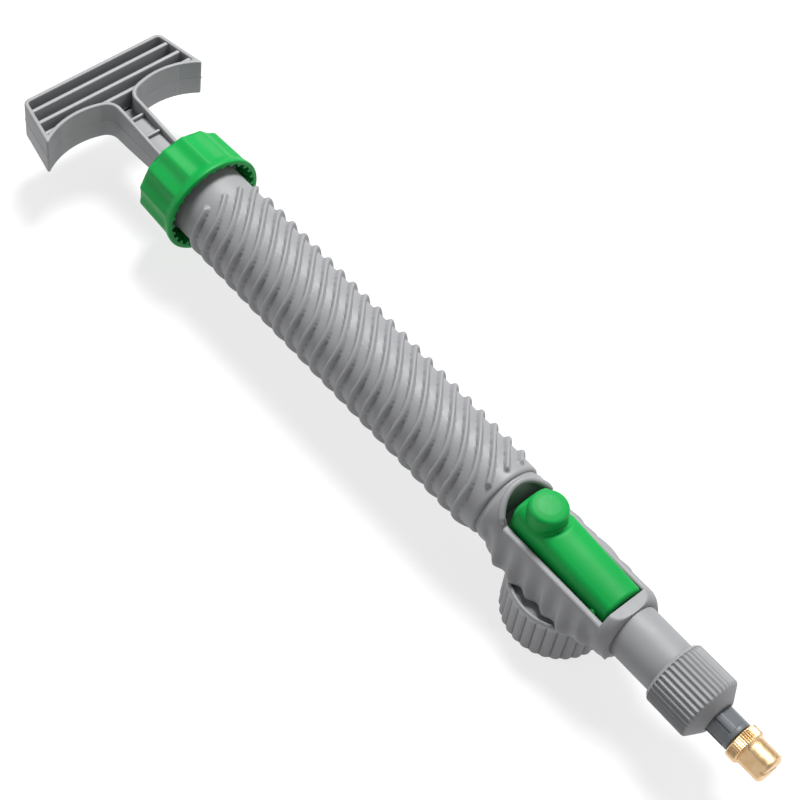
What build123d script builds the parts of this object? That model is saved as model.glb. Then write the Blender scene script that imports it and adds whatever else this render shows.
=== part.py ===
"""Hand-pumped spray wand that screws onto a drinks bottle.

Frame: origin at the centre of the bottle ring's open rim, +Z up along the bottle's axis,
+X along the barrel towards the nozzle. Lengths are in millimetres. A height called "rise"
is measured from the barrel's axis, and a height called "z" from the origin.
"""
from build123d import *
import math
import os

# ---- clearances ----
RUN = 0.10               # radial clearance of plain running fits
SEAL_RUN = 0.03          # radial clearance of a seal on a part that moves past it
SEAT_GAP = 0.03          # valve seal to its seat, shut
GAP = 0.3                # clearance between parts that pass each other

# ---- barrel ----
BORE_R = 10.6            # pump bore
BARREL_WALL = 2.0
BARREL_LENGTH = 152.6    # open rear end to the front of the barrel
BARREL_FRONT = -24.5     # front of the barrel, behind the bottle ring's axis
FRONT_WALL = 5.5         # thickness of the wall that closes the bore
GRIP_RELIEF = 0.7        # mean height of the grip's ribs over the barrel
GRIP_REAR_MARGIN = 21.0  # plain length at the cap end
GRIP_FRONT_MARGIN = 6.0  # plain length at the lever end
THREAD_HEIGHT = 1.6      # barrel's outside to the crest of its thread
THREAD_LENGTH = 8.0

# ---- barrel cap ----
CAP_LENGTH = 17.2
CAP_REAR_WALL = 2.1
CAP_FLARE = 1.0          # growth in radius from the rear to the rim
CAP_END_WALL = 2.6
CAP_RIM_WALL = 1.7
CAP_LOBES = 14
CAP_GROOVE_DEPTH = 0.5
CAP_GROOVE_R = 2.4

# ---- pump rod and handle ----
ROD_HALF_WIDTH = 4.3
ROD_HALF_HEIGHT = 5.4
ROD_WALL = 1.4
WEB = 1.6                # web of the rod and of the grip
RUNG_PITCH = 8.4         # cross ribs of the rod
RUNG_DROP = 1.0          # rungs below the rails' edges
ROD_SHOWING = 27.2       # cap's rear face to the grip's front tips
GRIP_DEPTH = 19.6        # grip's rear edge to its front tips
GRIP_TIP_HALF = 30.6
GRIP_TAPER = 4.0         # how much narrower each side is at the rear
GRIP_HALF_HEIGHT = 7.2
GRIP_WALL = 1.7
FINGER_DEPTH = 4.9       # how far the finger arcs cut in behind the tips
FINGER_ROOT_R = 4.0
GRIP_RIB = 1.5
GRIP_RIBS = 3
GRIP_RIB_PITCH = 5.1
GRIP_RIB_DROP = 0.4      # ribs below the grip's rim
PISTON_LENGTH = 9.0
PISTON_GAP = 1.0         # piston face to the bore's end wall, handle in
RING_SECTION = 2.4       # piston ring's section diameter

# ---- lever recess and lever ----
RECESS_LENGTH = 44.1
RECESS_FLOOR = -1.0      # rise of the floor
RIM_RISE = 6.0           # rise of the side walls' top edge
SIDE_WALL = 3.2          # recess side to the housing's widest line
LEVER_HALF = 6.3
LEVER_SIDE_GAP = 1.7
LEVER_FRONT_GAP = 0.5
LEVER_REAR_GAP = 5.0
LEVER_WALL = 1.4
LEVER_REAR_SHOULDER = 11.4
LEVER_FRONT_SHOULDER = 8.0
LEVER_CROWN = 2.5        # height of the arched top over its shoulders
LEVER_REAR_SKIRT = 3.2
LEVER_FRONT_SKIRT = 2.4
THUMB_INSET = 7.1        # lever's rear end to the button's middle
THUMB_R = 5.6
THUMB_RISE = 17.2
PIVOT_INSET = 4.1        # recess's front wall to the pivot
PIVOT_RISE = 4.5
TRUNNION_R = 1.6
TRUNNION_BITE = 1.1      # length of each trunnion inside its socket

# ---- outlet ----
FRONT_BLOCK = 7.4        # recess's front wall to the housing's front face
COLLAR_LENGTH = 5.2
COLLAR_WALL = 2.65
COLLAR_TOP = 0.8         # flat top of the front block over the tube
TUBE_R = 8.5
TUBE_BORE_R = 3.0
TUBE_SHOWING = 13.4      # collar to nut
TUBE_IN_NUT = 10.6
TUBE_MOUTH = 1.5         # depth of the collar's mouth round the tube
PLUG_STEP = 1.3          # tube's outside to its plug's outside
PLUG_BACK_WALL = 1.4     # recess's front wall to the plug's socket
PLUG_RING_SECTION = 1.5
NUT_WALL = 2.0
NUT_RIBBED = 15.0
NUT_CONE = 3.0
NUT_NOSE = 1.2           # rim of the nut's front round the stem
NUT_RIBS = 36
NUT_RIB_DEPTH = 0.5

# ---- nozzle ----
WASHER = 1.4
FLANGE_STEP = 0.9        # tube's outside to the stem flange's edge
STEM_FLANGE = 1.6
STEM_SHOULDER = 0.9      # stem's outside over its nose
STEM_SHOWING = 7.6
STEM_BORE_R = 1.5
STEM_NOSE_R = 3.8
STEM_NOSE = 5.6
STEM_FLAT_DEPTH = 0.5
STEM_FLATS = 4
TIP_GAP = 0.4            # stem's shoulder to the tip's rear face, tip screwed in
TIP_WALL = 0.8
KNURL_STEP = 0.9
KNURL_LENGTH = 4.1
TIP_LENGTH = 11.7
TIP_FRONT_WALL = 2.4
ORIFICE_R = 0.5
TIP_SLOT = 0.9
TIP_SEAL_SECTION = 1.0
CORE_STEP = 0.9          # stem's nose to the core's head
CORE_HEAD = 2.0
CORE_SHANK = 3.0
CORE_SLOTS = 3

# ---- bottle connection ----
BOTTLE_THREAD_R = 13.85  # bore of the ring, over the bottle's thread
RING_WALL = 3.35
RING_HEIGHT = 18.2
RING_LIP = 2.6
RING_RIBS = 32
RING_RIB_DEPTH = 0.7
SKIRT_R = 14.0           # skirt of the housing over the ring
SKIRT_HEIGHT = 6.0
INSERT_FLANGE = 2.0
INSERT_FLANGE_GAP = 0.45
INSERT_WALL = 1.1
INSERT_OUTER_WALL = 1.0
INSERT_BOSS = 4.7        # boss below the flange
INSERT_FLOOR = 1.4
NECK_STEP = 1.1          # insert's boss to the neck's outside
GASKET = 1.6
SPIGOT_R = 2.75
SPIGOT_BORE_R = 1.5
SPIGOT_LENGTH = 7.6

# ---- valve and air check ----
AXIS_OVER_RING = 5.4     # barrel's axis over the ring's top
PLUNGER_R = 1.5
PLUNGER_TOP_RISE = 7.9
WATER_ANNULUS = 0.8      # gap round the plunger in the seat's hole
SEAT_LAND = 0.8          # seal's overlap on the seat
FOOT_GAP = 0.5           # foot to the chamber's wall
FOOT = 1.4
PLUNGER_TAIL = 2.0
SEAL_DISC = 1.4
SEAT_RISE = -5.6
CAVITY_RISE = -1.6       # top of the space over the seat
WATER_RISE = -3.0        # water way's axis
WATER_R = 1.3
SPRING_WIRE = 0.6
SPRING_TURNS = 3.5
GLAND_BOSS_WALL = 1.27
GLAND_BOSS_RISE = 4.6
GLAND_RING_SECTION = 1.4
GLAND_LENGTH = 2.1
AIR_R = 1.0
AIR_RISE = -3.3
CHECK_POCKET_R = 2.0
CHECK_POCKET = 2.2
CHECK_DISC = 0.8

# ---- worked out ----
AXIS_Z = RING_HEIGHT + AXIS_OVER_RING
BARREL_R = BORE_R + BARREL_WALL
GRIP_R = BARREL_R + GRIP_RELIEF
THREAD_R = BARREL_R + THREAD_HEIGHT
CAP_REAR_R = THREAD_R + RUN + CAP_REAR_WALL
CAP_RIM_R = CAP_REAR_R + CAP_FLARE
BARREL_REAR = BARREL_FRONT - BARREL_LENGTH
BORE_END = BARREL_FRONT - FRONT_WALL
CAP_REAR = BARREL_REAR - CAP_END_WALL - GAP
GRIP_TIP = CAP_REAR - ROD_SHOWING
GRIP_REAR = GRIP_TIP - GRIP_DEPTH
PISTON_FRONT = BORE_END - PISTON_GAP
RECESS_HALF = LEVER_HALF + LEVER_SIDE_GAP
HOUSING_R = RECESS_HALF + SIDE_WALL
RECESS_FRONT = BARREL_FRONT + RECESS_LENGTH
LEVER_FRONT = RECESS_FRONT - LEVER_FRONT_GAP
LEVER_REAR = BARREL_FRONT + LEVER_REAR_GAP
THUMB_X = LEVER_REAR + THUMB_INSET
PIVOT_X = RECESS_FRONT - PIVOT_INSET
COLLAR_FRONT = RECESS_FRONT + FRONT_BLOCK
COLLAR_R = TUBE_R + GAP / 2 + COLLAR_WALL
TUBE_PLUG_R = TUBE_R - PLUG_STEP
TUBE_SHOULDER = COLLAR_FRONT - TUBE_MOUTH
PLUG_REAR = RECESS_FRONT + PLUG_BACK_WALL + GAP
NUT_REAR = COLLAR_FRONT + TUBE_SHOWING
NUT_R = TUBE_R + NUT_WALL
NUT_FRONT = NUT_REAR + NUT_RIBBED + NUT_CONE
TUBE_FRONT = NUT_REAR + TUBE_IN_NUT
STEM_R = STEM_NOSE_R + STEM_SHOULDER
STEM_FLANGE_R = TUBE_R - FLANGE_STEP
STEM_FRONT = NUT_FRONT + STEM_SHOWING
STEM_END = STEM_FRONT + STEM_NOSE
TIP_REAR = STEM_FRONT + TIP_GAP
TIP_R = STEM_NOSE_R + RUN + TIP_WALL
KNURL_R = TIP_R + KNURL_STEP
CORE_R = STEM_NOSE_R - CORE_STEP
SEAT_HOLE_R = PLUNGER_R + WATER_ANNULUS
FOOT_R = SEAT_HOLE_R + SEAT_LAND
CHAMBER_R = FOOT_R + FOOT_GAP
GLAND_R = PLUNGER_R + SEAL_RUN + GLAND_RING_SECTION
AIR_X = -(CHAMBER_R + INSERT_WALL + CHECK_POCKET_R)
INSERT_BOSS_R = -AIR_X + CHECK_POCKET_R + INSERT_OUTER_WALL
NECK_R = INSERT_BOSS_R + NECK_STEP
INSERT_FLANGE_R = BOTTLE_THREAD_R - INSERT_FLANGE_GAP
RING_R = BOTTLE_THREAD_R + RING_WALL
LIP_Z = RING_HEIGHT - RING_LIP
INSERT_TOP_Z = LIP_Z - GAP
INSERT_FLANGE_Z = INSERT_TOP_Z - INSERT_FLANGE
INSERT_BOSS_Z = INSERT_FLANGE_Z - INSERT_BOSS
CHAMBER_FLOOR_Z = INSERT_BOSS_Z + INSERT_FLOOR
HOUSING_UNDER_Z = RING_HEIGHT + GAP
SEAT_Z = AXIS_Z + SEAT_RISE
SEAL_TOP_Z = SEAT_Z - SEAT_GAP
FOOT_TOP_Z = SEAL_TOP_Z - SEAL_DISC
FOOT_Z = FOOT_TOP_Z - FOOT
GLAND_TOP_Z = AXIS_Z + GLAND_BOSS_RISE
GLAND_RING_Z = GLAND_TOP_Z - GLAND_LENGTH - GLAND_RING_SECTION

BARREL_AXIS = Axis((0, 0, AXIS_Z), (1, 0, 0))
UP = (Align.CENTER, Align.CENTER, Align.MIN)
FORWARD = (Align.MIN, Align.CENTER, Align.CENTER)


# ---- shape helpers ----
def turned(*corners):
    """Ring or rod turned about the barrel's axis from closed (x, radius) corners."""
    outline = Polyline(*[(x, 0, AXIS_Z + r) for x, r in corners], close=True)
    return Solid.revolve(Face(Wire(outline.edges())), 360, BARREL_AXIS)


def turned_up(*corners, x=0.0):
    """Ring or rod turned about an upright axis at x, from closed (radius, z) corners."""
    outline = Polyline(*[(x + r, 0, z) for r, z in corners], close=True)
    return Solid.revolve(Face(Wire(outline.edges())), 360, Axis((x, 0, 0), (0, 0, 1)))


def bar(radius, x0, x1, y=0.0, rise=0.0):
    """Cylinder along the barrel."""
    return Pos(x0, y, AXIS_Z + rise) * Rot(0, 90, 0) * Cylinder(radius, x1 - x0, align=UP)


def post(radius, z0, z1, x=0.0, y=0.0):
    """Upright cylinder."""
    return Pos(x, y, z0) * Cylinder(radius, z1 - z0, align=UP)


def block(x0, x1, half_width, z0, z1):
    """Box centred on the barrel's middle plane."""
    return Pos((x0 + x1) / 2, 0, z0) * Box(x1 - x0, 2 * half_width, z1 - z0, align=UP)


def around_barrel(tool, count):
    """Copies of a tool spaced evenly about the barrel's axis."""
    centre = Pos(0, 0, AXIS_Z)
    return [centre * Rot(360 * i / count, 0, 0) * centre.inverse() * tool for i in range(count)]


def seal_ring(x, inner_r, section):
    """O-ring about the barrel's axis."""
    return Pos(x, 0, AXIS_Z) * Rot(0, 90, 0) * Torus(inner_r + section / 2, section / 2)


# ---- pump ----
def grip_face():
    """Outline of the hand grip with its two finger arcs, in plan."""
    arc_y = (GRIP_TIP_HALF + ROD_HALF_WIDTH) / 2
    rear_half = GRIP_TIP_HALF - GRIP_TAPER
    edges = []
    for side in (1, -1):
        tip = (GRIP_TIP, side * GRIP_TIP_HALF)
        deepest = (GRIP_TIP - FINGER_DEPTH, side * arc_y)
        root = (GRIP_TIP, side * ROD_HALF_WIDTH)
        edges.append(ThreePointArc(tip, deepest, root))
        edges.append(Line(tip, (GRIP_REAR, side * rear_half)))
        edges.append(Line(root, (GRIP_TIP + 2 * FINGER_ROOT_R, side * ROD_HALF_WIDTH)))
    front = GRIP_TIP + 2 * FINGER_ROOT_R
    edges.append(Line((front, ROD_HALF_WIDTH), (front, -ROD_HALF_WIDTH)))
    edges.append(Line((GRIP_REAR, rear_half), (GRIP_REAR, -rear_half)))
    face = make_face(edges)
    beside_rod = [v for v in face.vertices() if abs(v.Y) < ROD_HALF_WIDTH + 0.01]
    roots = [v for v in beside_rod if abs(v.X - GRIP_TIP) < 0.01]
    return fillet(roots, FINGER_ROOT_R)


def rod_solid():
    """Ribbed H-section rod from the grip to the piston."""
    rod_rear = GRIP_TIP
    rod_front = PISTON_FRONT - PISTON_LENGTH
    rod = block(rod_rear, rod_front, ROD_HALF_WIDTH, AXIS_Z - WEB / 2, AXIS_Z + WEB / 2)
    rail = Box(rod_front - rod_rear, ROD_WALL, 2 * ROD_HALF_HEIGHT, align=FORWARD)
    for side in (1, -1):
        rod += Pos(rod_rear, side * (ROD_HALF_WIDTH - ROD_WALL / 2), AXIS_Z) * rail
    rungs = int((rod_front - rod_rear) / RUNG_PITCH)
    rung_half = ROD_HALF_HEIGHT - RUNG_DROP
    for i in range(1, rungs + 1):
        x = rod_rear + i * RUNG_PITCH
        rod += block(x - WEB / 2, x + WEB / 2, ROD_HALF_WIDTH, AXIS_Z - rung_half, AXIS_Z + rung_half)
    return rod


def pump_handle():
    """Grip, rod and piston, one moulding."""
    outline = Pos(0, 0, AXIS_Z) * grip_face()
    grip = extrude(outline, GRIP_HALF_HEIGHT, both=True)
    inside = offset(outline, -GRIP_WALL, kind=Kind.INTERSECTION)
    tray = extrude(inside, 2 * GRIP_HALF_HEIGHT, both=True)
    web = Pos(GRIP_TIP, 0, AXIS_Z) * Box(4 * GRIP_DEPTH, 4 * GRIP_TIP_HALF, WEB)
    rib_half_height = GRIP_HALF_HEIGHT - GRIP_RIB_DROP
    ribs = [
        block(x - GRIP_RIB / 2, x + GRIP_RIB / 2, GRIP_TIP_HALF, AXIS_Z - rib_half_height,
              AXIS_Z + rib_half_height)
        for x in (GRIP_REAR + i * GRIP_RIB_PITCH for i in range(1, GRIP_RIBS + 1))
    ]
    body = grip - (tray - web - ribs)
    body += rod_solid()
    groove_x = PISTON_FRONT - PISTON_LENGTH / 2
    groove_half = RING_SECTION / 2 + GAP / 2
    body += turned((PISTON_FRONT - PISTON_LENGTH, 0), (PISTON_FRONT - PISTON_LENGTH, BORE_R - RUN),
                   (PISTON_FRONT, BORE_R - RUN), (PISTON_FRONT, 0))
    floor_r = BORE_R - RING_SECTION - 2 * SEAL_RUN
    body -= turned((groove_x - groove_half, floor_r), (groove_x - groove_half, BORE_R + 1),
                   (groove_x + groove_half, BORE_R + 1), (groove_x + groove_half, floor_r))
    return body


def piston_ring():
    """O-ring that seals the piston and lets air past on the pull."""
    return seal_ring(PISTON_FRONT - PISTON_LENGTH / 2, BORE_R - RING_SECTION - SEAL_RUN, RING_SECTION)


def barrel_cap():
    """Screwed cap that keeps the piston in and guides the rod."""
    hole_r = math.hypot(ROD_HALF_WIDTH, ROD_HALF_HEIGHT) + GAP
    rim = CAP_REAR + CAP_LENGTH
    inner_rear = CAP_REAR + CAP_END_WALL
    thread_front = BARREL_REAR + THREAD_LENGTH
    thread_r = THREAD_R + RUN
    cap = turned((CAP_REAR, hole_r), (CAP_REAR, CAP_REAR_R), (rim, CAP_RIM_R),
                 (rim, CAP_RIM_R - CAP_RIM_WALL),
                 (thread_front, thread_r), (inner_rear, thread_r), (inner_rear, hole_r))
    groove_r = CAP_RIM_R + CAP_GROOVE_R - CAP_GROOVE_DEPTH
    rear_drop = CAP_RIM_R - CAP_REAR_R
    lean = math.degrees(math.atan2(rear_drop, CAP_LENGTH))
    tool = Pos(rim, 0, AXIS_Z + groove_r) * Rot(0, -90 - lean, 0) * Cylinder(CAP_GROOVE_R, 2 * CAP_LENGTH)
    return cap - around_barrel(tool, CAP_LOBES)


# ---- housing ----
def housing_body():
    """Outside of the barrel, lever housing, neck skirt and outlet collar."""
    thread_front = BARREL_REAR + THREAD_LENGTH
    grip_rear = BARREL_REAR + GRIP_REAR_MARGIN
    grip_front = BARREL_FRONT - GRIP_FRONT_MARGIN
    body = turned((BARREL_REAR, 0), (BARREL_REAR, THREAD_R), (thread_front, THREAD_R),
                  (thread_front, BARREL_R),
                  (grip_rear, BARREL_R), (grip_rear + 1, GRIP_R), (grip_front - 1, GRIP_R),
                  (grip_front, BARREL_R), (BARREL_FRONT, BARREL_R), (BARREL_FRONT, 0))
    body += bar(HOUSING_R, BARREL_FRONT - 1, COLLAR_FRONT)
    body += bar(COLLAR_R, COLLAR_FRONT - COLLAR_LENGTH, COLLAR_FRONT)
    skirt_top = HOUSING_UNDER_Z + SKIRT_HEIGHT
    body -= post(RING_R + 2 * GAP, 0, HOUSING_UNDER_Z)
    body += turned_up((0, HOUSING_UNDER_Z), (SKIRT_R, HOUSING_UNDER_Z),
                      (HOUSING_R, skirt_top), (0, skirt_top))
    body += post(NECK_R, INSERT_TOP_Z, HOUSING_UNDER_Z + 1)
    return body


def lever_recess():
    """Space over and round the lever, and the flat top of the front block."""
    top = AXIS_Z + 2 * BARREL_R
    above_rim = block(BARREL_FRONT, RECESS_FRONT, 2 * BARREL_R, AXIS_Z + RIM_RISE, top)
    pocket = block(BARREL_FRONT, RECESS_FRONT, RECESS_HALF, AXIS_Z + RECESS_FLOOR, top)
    flat = block(BARREL_FRONT, COLLAR_FRONT + 1, 2 * BARREL_R, AXIS_Z + TUBE_R + COLLAR_TOP, top)
    sockets = Pos(PIVOT_X, 0, AXIS_Z + PIVOT_RISE) * Rot(90, 0, 0) * Cylinder(
        TRUNNION_R + RUN / 2, 2 * (RECESS_HALF + TRUNNION_BITE + RUN))
    return [above_rim, pocket, flat, sockets]


def barrel_housing():
    """Barrel, lever housing and neck, one moulding, with its air and water ways."""
    body = housing_body()
    body -= lever_recess()
    body += post(GLAND_R + GLAND_BOSS_WALL, AXIS_Z + RECESS_FLOOR - 1, GLAND_TOP_Z)
    body -= bar(BORE_R, BARREL_REAR - 1, BORE_END)
    body -= bar(AIR_R, BORE_END - 1, AIR_X, rise=AIR_RISE)
    body -= post(AIR_R, INSERT_TOP_Z - 1, AXIS_Z + AIR_RISE, x=AIR_X)
    body -= post(CHAMBER_R, INSERT_TOP_Z - 1, SEAT_Z)
    body -= post(SEAT_HOLE_R, SEAT_Z - 1, AXIS_Z + CAVITY_RISE)
    body -= post(PLUNGER_R + RUN, AXIS_Z + CAVITY_RISE - 1, GLAND_TOP_Z)
    body -= post(GLAND_R, GLAND_RING_Z, GLAND_TOP_Z + 1)
    body -= bar(WATER_R, 0, PLUG_REAR + 1, rise=WATER_RISE)
    body -= bar(TUBE_PLUG_R, PLUG_REAR - GAP, COLLAR_FRONT + 1)
    body -= bar(TUBE_R + GAP / 2, TUBE_SHOULDER, COLLAR_FRONT + 1)
    return body


# ---- lever ----
def lever_section(x, half, shoulder, crown, skirt):
    """Arched section of the lever across the barrel, at station x."""
    points = [(x, y, AXIS_Z + rise) for y, rise in
              ((-half, skirt), (half, skirt), (half, shoulder), (0, shoulder + crown), (-half, shoulder))]
    sides = Polyline(points[4], points[0], points[1], points[2])
    return Face(Wire(sides.edges() + ThreePointArc(points[2], points[3], points[4]).edges()))


def lever_shell(inset):
    """Lofted body of the lever, drawn in by a wall thickness, and open below if that isn't zero."""
    half = LEVER_HALF - inset
    below = 2 * inset
    rear = lever_section(LEVER_REAR + inset, half, LEVER_REAR_SHOULDER - inset,
                         LEVER_CROWN, LEVER_REAR_SKIRT - below)
    front = lever_section(LEVER_FRONT - inset, half, LEVER_FRONT_SHOULDER - inset,
                          LEVER_CROWN, LEVER_FRONT_SKIRT - below)
    return Solid.make_loft([rear.outer_wire(), front.outer_wire()], True)


def lever():
    """Thumb lever: hollow shell with a thumb button, a pushing rib and two trunnions."""
    button = post(THUMB_R, AXIS_Z + LEVER_REAR_SHOULDER - 2, AXIS_Z + THUMB_RISE, x=THUMB_X)
    button = fillet(button.faces().sort_by(Axis.Z)[-1].edges(), THUMB_R / 3)
    body = Part() + lever_shell(0) + button
    body -= lever_shell(LEVER_WALL)
    rib_foot = PLUNGER_TOP_RISE + RUN
    rib = block(-WEB / 2, WEB / 2, LEVER_HALF - LEVER_WALL / 2, AXIS_Z + rib_foot,
                AXIS_Z + LEVER_FRONT_SHOULDER + 1.5)
    body += rib
    trunnion_half = RECESS_HALF + TRUNNION_BITE
    for side in (1, -1):
        length = trunnion_half - LEVER_HALF + LEVER_WALL
        centre = side * (trunnion_half - length / 2)
        body += Pos(PIVOT_X, centre, AXIS_Z + PIVOT_RISE) * Rot(90, 0, 0) * Cylinder(TRUNNION_R, length)
    return body


# ---- valve ----
def valve_plunger():
    """Pin that the lever pushes down, with a foot under the seal."""
    top = AXIS_Z + PLUNGER_TOP_RISE
    return turned_up((0, FOOT_Z - PLUNGER_TAIL), (PLUNGER_R, FOOT_Z - PLUNGER_TAIL), (PLUNGER_R, FOOT_Z),
                     (FOOT_R, FOOT_Z), (FOOT_R, FOOT_TOP_Z), (PLUNGER_R, FOOT_TOP_Z),
                     (PLUNGER_R, top - PLUNGER_R / 2), (PLUNGER_R / 2, top), (0, top))


def valve_seal():
    """Rubber washer that the spring holds up against the seat."""
    return turned_up((PLUNGER_R, FOOT_TOP_Z), (FOOT_R, FOOT_TOP_Z),
                     (FOOT_R, SEAL_TOP_Z), (PLUNGER_R, SEAL_TOP_Z))


def valve_spring():
    """Compression spring between the insert's floor and the plunger's foot."""
    low = CHAMBER_FLOOR_Z + SPRING_WIRE / 2
    high = FOOT_Z - SPRING_WIRE / 2
    coil_r = (PLUNGER_R + CHAMBER_R) / 2
    pitch = (high - low) / SPRING_TURNS
    path = Pos(0, 0, low) * Helix(pitch, high - low, coil_r)
    start = path @ 0
    section = Plane(start, z_dir=path % 0) * Circle(SPRING_WIRE / 2)
    return sweep(section, path, is_frenet=True)


def gland_ring():
    """O-ring round the plunger, above the water way."""
    return Pos(0, 0, GLAND_RING_Z + GLAND_RING_SECTION / 2) * Torus(
        PLUNGER_R + SEAL_RUN + GLAND_RING_SECTION / 2, GLAND_RING_SECTION / 2)


def plunger_gland():
    """Bush pressed into the boss over the plunger's O-ring."""
    low = GLAND_RING_Z + GLAND_RING_SECTION
    high = GLAND_TOP_Z
    inner = PLUNGER_R + RUN
    return turned_up((inner, low), (GLAND_R, low), (GLAND_R, high), (inner, high))


# ---- bottle connection ----
def neck_insert():
    """Plug welded under the neck: keeps the ring on, holds the spring, the air check and the dip spigot."""
    tip_z = INSERT_BOSS_Z - SPIGOT_LENGTH
    body = turned_up((SPIGOT_BORE_R, tip_z), (SPIGOT_R, tip_z), (SPIGOT_R, INSERT_BOSS_Z),
                     (INSERT_BOSS_R, INSERT_BOSS_Z), (INSERT_BOSS_R, INSERT_FLANGE_Z),
                     (INSERT_FLANGE_R, INSERT_FLANGE_Z), (INSERT_FLANGE_R, INSERT_TOP_Z),
                     (CHAMBER_R, INSERT_TOP_Z), (CHAMBER_R, CHAMBER_FLOOR_Z),
                     (SPIGOT_BORE_R, CHAMBER_FLOOR_Z))
    pocket_z = INSERT_TOP_Z - CHECK_POCKET
    body -= post(CHECK_POCKET_R, pocket_z, INSERT_TOP_Z + 1, x=AIR_X)
    slot = Box(2 * CHECK_POCKET_R, AIR_R, INSERT_TOP_Z - INSERT_BOSS_Z)
    across = Pos(AIR_X, 0, INSERT_BOSS_Z) * Rot(0, 0, 90) * slot
    return body - across


def air_check_disc():
    """Loose rubber disc that lets air down into the bottle and shuts against a return."""
    low = INSERT_TOP_Z - CHECK_POCKET
    return post(CHECK_POCKET_R - GAP, low, low + CHECK_DISC, x=AIR_X)


def bottle_gasket():
    """Flat rubber washer that seals on the bottle's lip."""
    low = INSERT_FLANGE_Z - GASKET
    return turned_up((INSERT_BOSS_R, low), (INSERT_FLANGE_R, low),
                     (INSERT_FLANGE_R, INSERT_FLANGE_Z), (INSERT_BOSS_R, INSERT_FLANGE_Z))


def bottle_ring():
    """Ribbed ring that turns on the neck and screws onto the bottle."""
    body = turned_up((BOTTLE_THREAD_R, 0), (RING_R - 0.5, 0), (RING_R, 1.0),
                     (RING_R, RING_HEIGHT - 1.0), (RING_R - 1.0, RING_HEIGHT),
                     (NECK_R + RUN, RING_HEIGHT), (NECK_R + RUN, LIP_Z), (BOTTLE_THREAD_R, LIP_Z))
    groove = RING_RIB_DEPTH
    tool = Pos(RING_R, 0, -1) * Box(2 * groove, 1.4, RING_HEIGHT - 1.5, align=UP)
    return body - [Rot(0, 0, 360 * i / RING_RIBS) * tool for i in range(RING_RIBS)]


# ---- outlet and nozzle ----
def outlet_tube():
    """Tube from the housing to the nozzle, with a grooved plug at its rear."""
    ring_x = (PLUG_REAR + TUBE_SHOULDER) / 2
    half = PLUG_RING_SECTION / 2
    floor_r = TUBE_PLUG_R - PLUG_RING_SECTION
    return turned((PLUG_REAR, TUBE_BORE_R), (PLUG_REAR, TUBE_PLUG_R), (ring_x - half, TUBE_PLUG_R),
                  (ring_x - half, floor_r), (ring_x + half, floor_r), (ring_x + half, TUBE_PLUG_R),
                  (TUBE_SHOULDER, TUBE_PLUG_R), (TUBE_SHOULDER, TUBE_R), (TUBE_FRONT, TUBE_R),
                  (TUBE_FRONT, TUBE_BORE_R))


def plug_ring():
    """O-ring on the tube's plug."""
    return seal_ring((PLUG_REAR + TUBE_SHOULDER) / 2, TUBE_PLUG_R - PLUG_RING_SECTION, PLUG_RING_SECTION)


def nozzle_nut():
    """Ribbed nut that clamps the nozzle stem to the tube."""
    cone_x = NUT_REAR + NUT_RIBBED
    seat_x = TUBE_FRONT + WASHER + STEM_FLANGE
    hole_r = STEM_R + RUN
    body = turned((NUT_REAR, TUBE_R), (NUT_REAR, NUT_R - 0.7), (NUT_REAR + 1, NUT_R), (cone_x, NUT_R),
                  (NUT_FRONT, STEM_R + NUT_NOSE), (NUT_FRONT, hole_r), (seat_x, hole_r), (seat_x, TUBE_R))
    tool = Pos(NUT_REAR - 1, 0, AXIS_Z + NUT_R) * Box(
        NUT_RIBBED - 1, 0.9, 2 * NUT_RIB_DEPTH, align=FORWARD)
    return body - around_barrel(tool, NUT_RIBS)


def nozzle_washer():
    """Rubber washer between the tube's end and the stem's flange."""
    return turned((TUBE_FRONT, TUBE_BORE_R), (TUBE_FRONT, STEM_FLANGE_R),
                  (TUBE_FRONT + WASHER, STEM_FLANGE_R), (TUBE_FRONT + WASHER, TUBE_BORE_R))


def nozzle_stem():
    """Flanged stem with flats, and a nose that carries the tip."""
    flange_rear = TUBE_FRONT + WASHER
    flange_front = flange_rear + STEM_FLANGE
    body = turned((flange_rear, STEM_BORE_R), (flange_rear, STEM_FLANGE_R), (flange_front, STEM_FLANGE_R),
                  (flange_front, STEM_R), (STEM_FRONT, STEM_R), (STEM_FRONT, STEM_NOSE_R),
                  (STEM_END, STEM_NOSE_R), (STEM_END, STEM_BORE_R))
    flat = Pos(NUT_FRONT, 0, AXIS_Z + STEM_R) * Box(
        STEM_FRONT - NUT_FRONT - 1, STEM_R, 2 * STEM_FLAT_DEPTH, align=FORWARD)
    return body - around_barrel(flat, STEM_FLATS)


def swirl_core():
    """Pointed core in the stem's end that spins the water and meters the orifice."""
    head_front = STEM_END + CORE_HEAD
    point = TIP_REAR + TIP_LENGTH - TIP_FRONT_WALL - GAP
    body = turned((STEM_END - CORE_SHANK, 0), (STEM_END - CORE_SHANK, STEM_BORE_R), (STEM_END, STEM_BORE_R),
                  (STEM_END, CORE_R), (head_front, CORE_R), (point, ORIFICE_R), (point, 0))
    slot = Pos(STEM_END, 0, AXIS_Z + CORE_R) * Rot(0, 0, 30) * Box(3 * CORE_HEAD, 0.8, 1.2)
    return body - around_barrel(slot, CORE_SLOTS)


def tip_seal():
    """O-ring carried in the tip that slides on the stem's nose."""
    return seal_ring(TIP_REAR + KNURL_LENGTH / 2, STEM_NOSE_R + SEAL_RUN, TIP_SEAL_SECTION)


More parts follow.
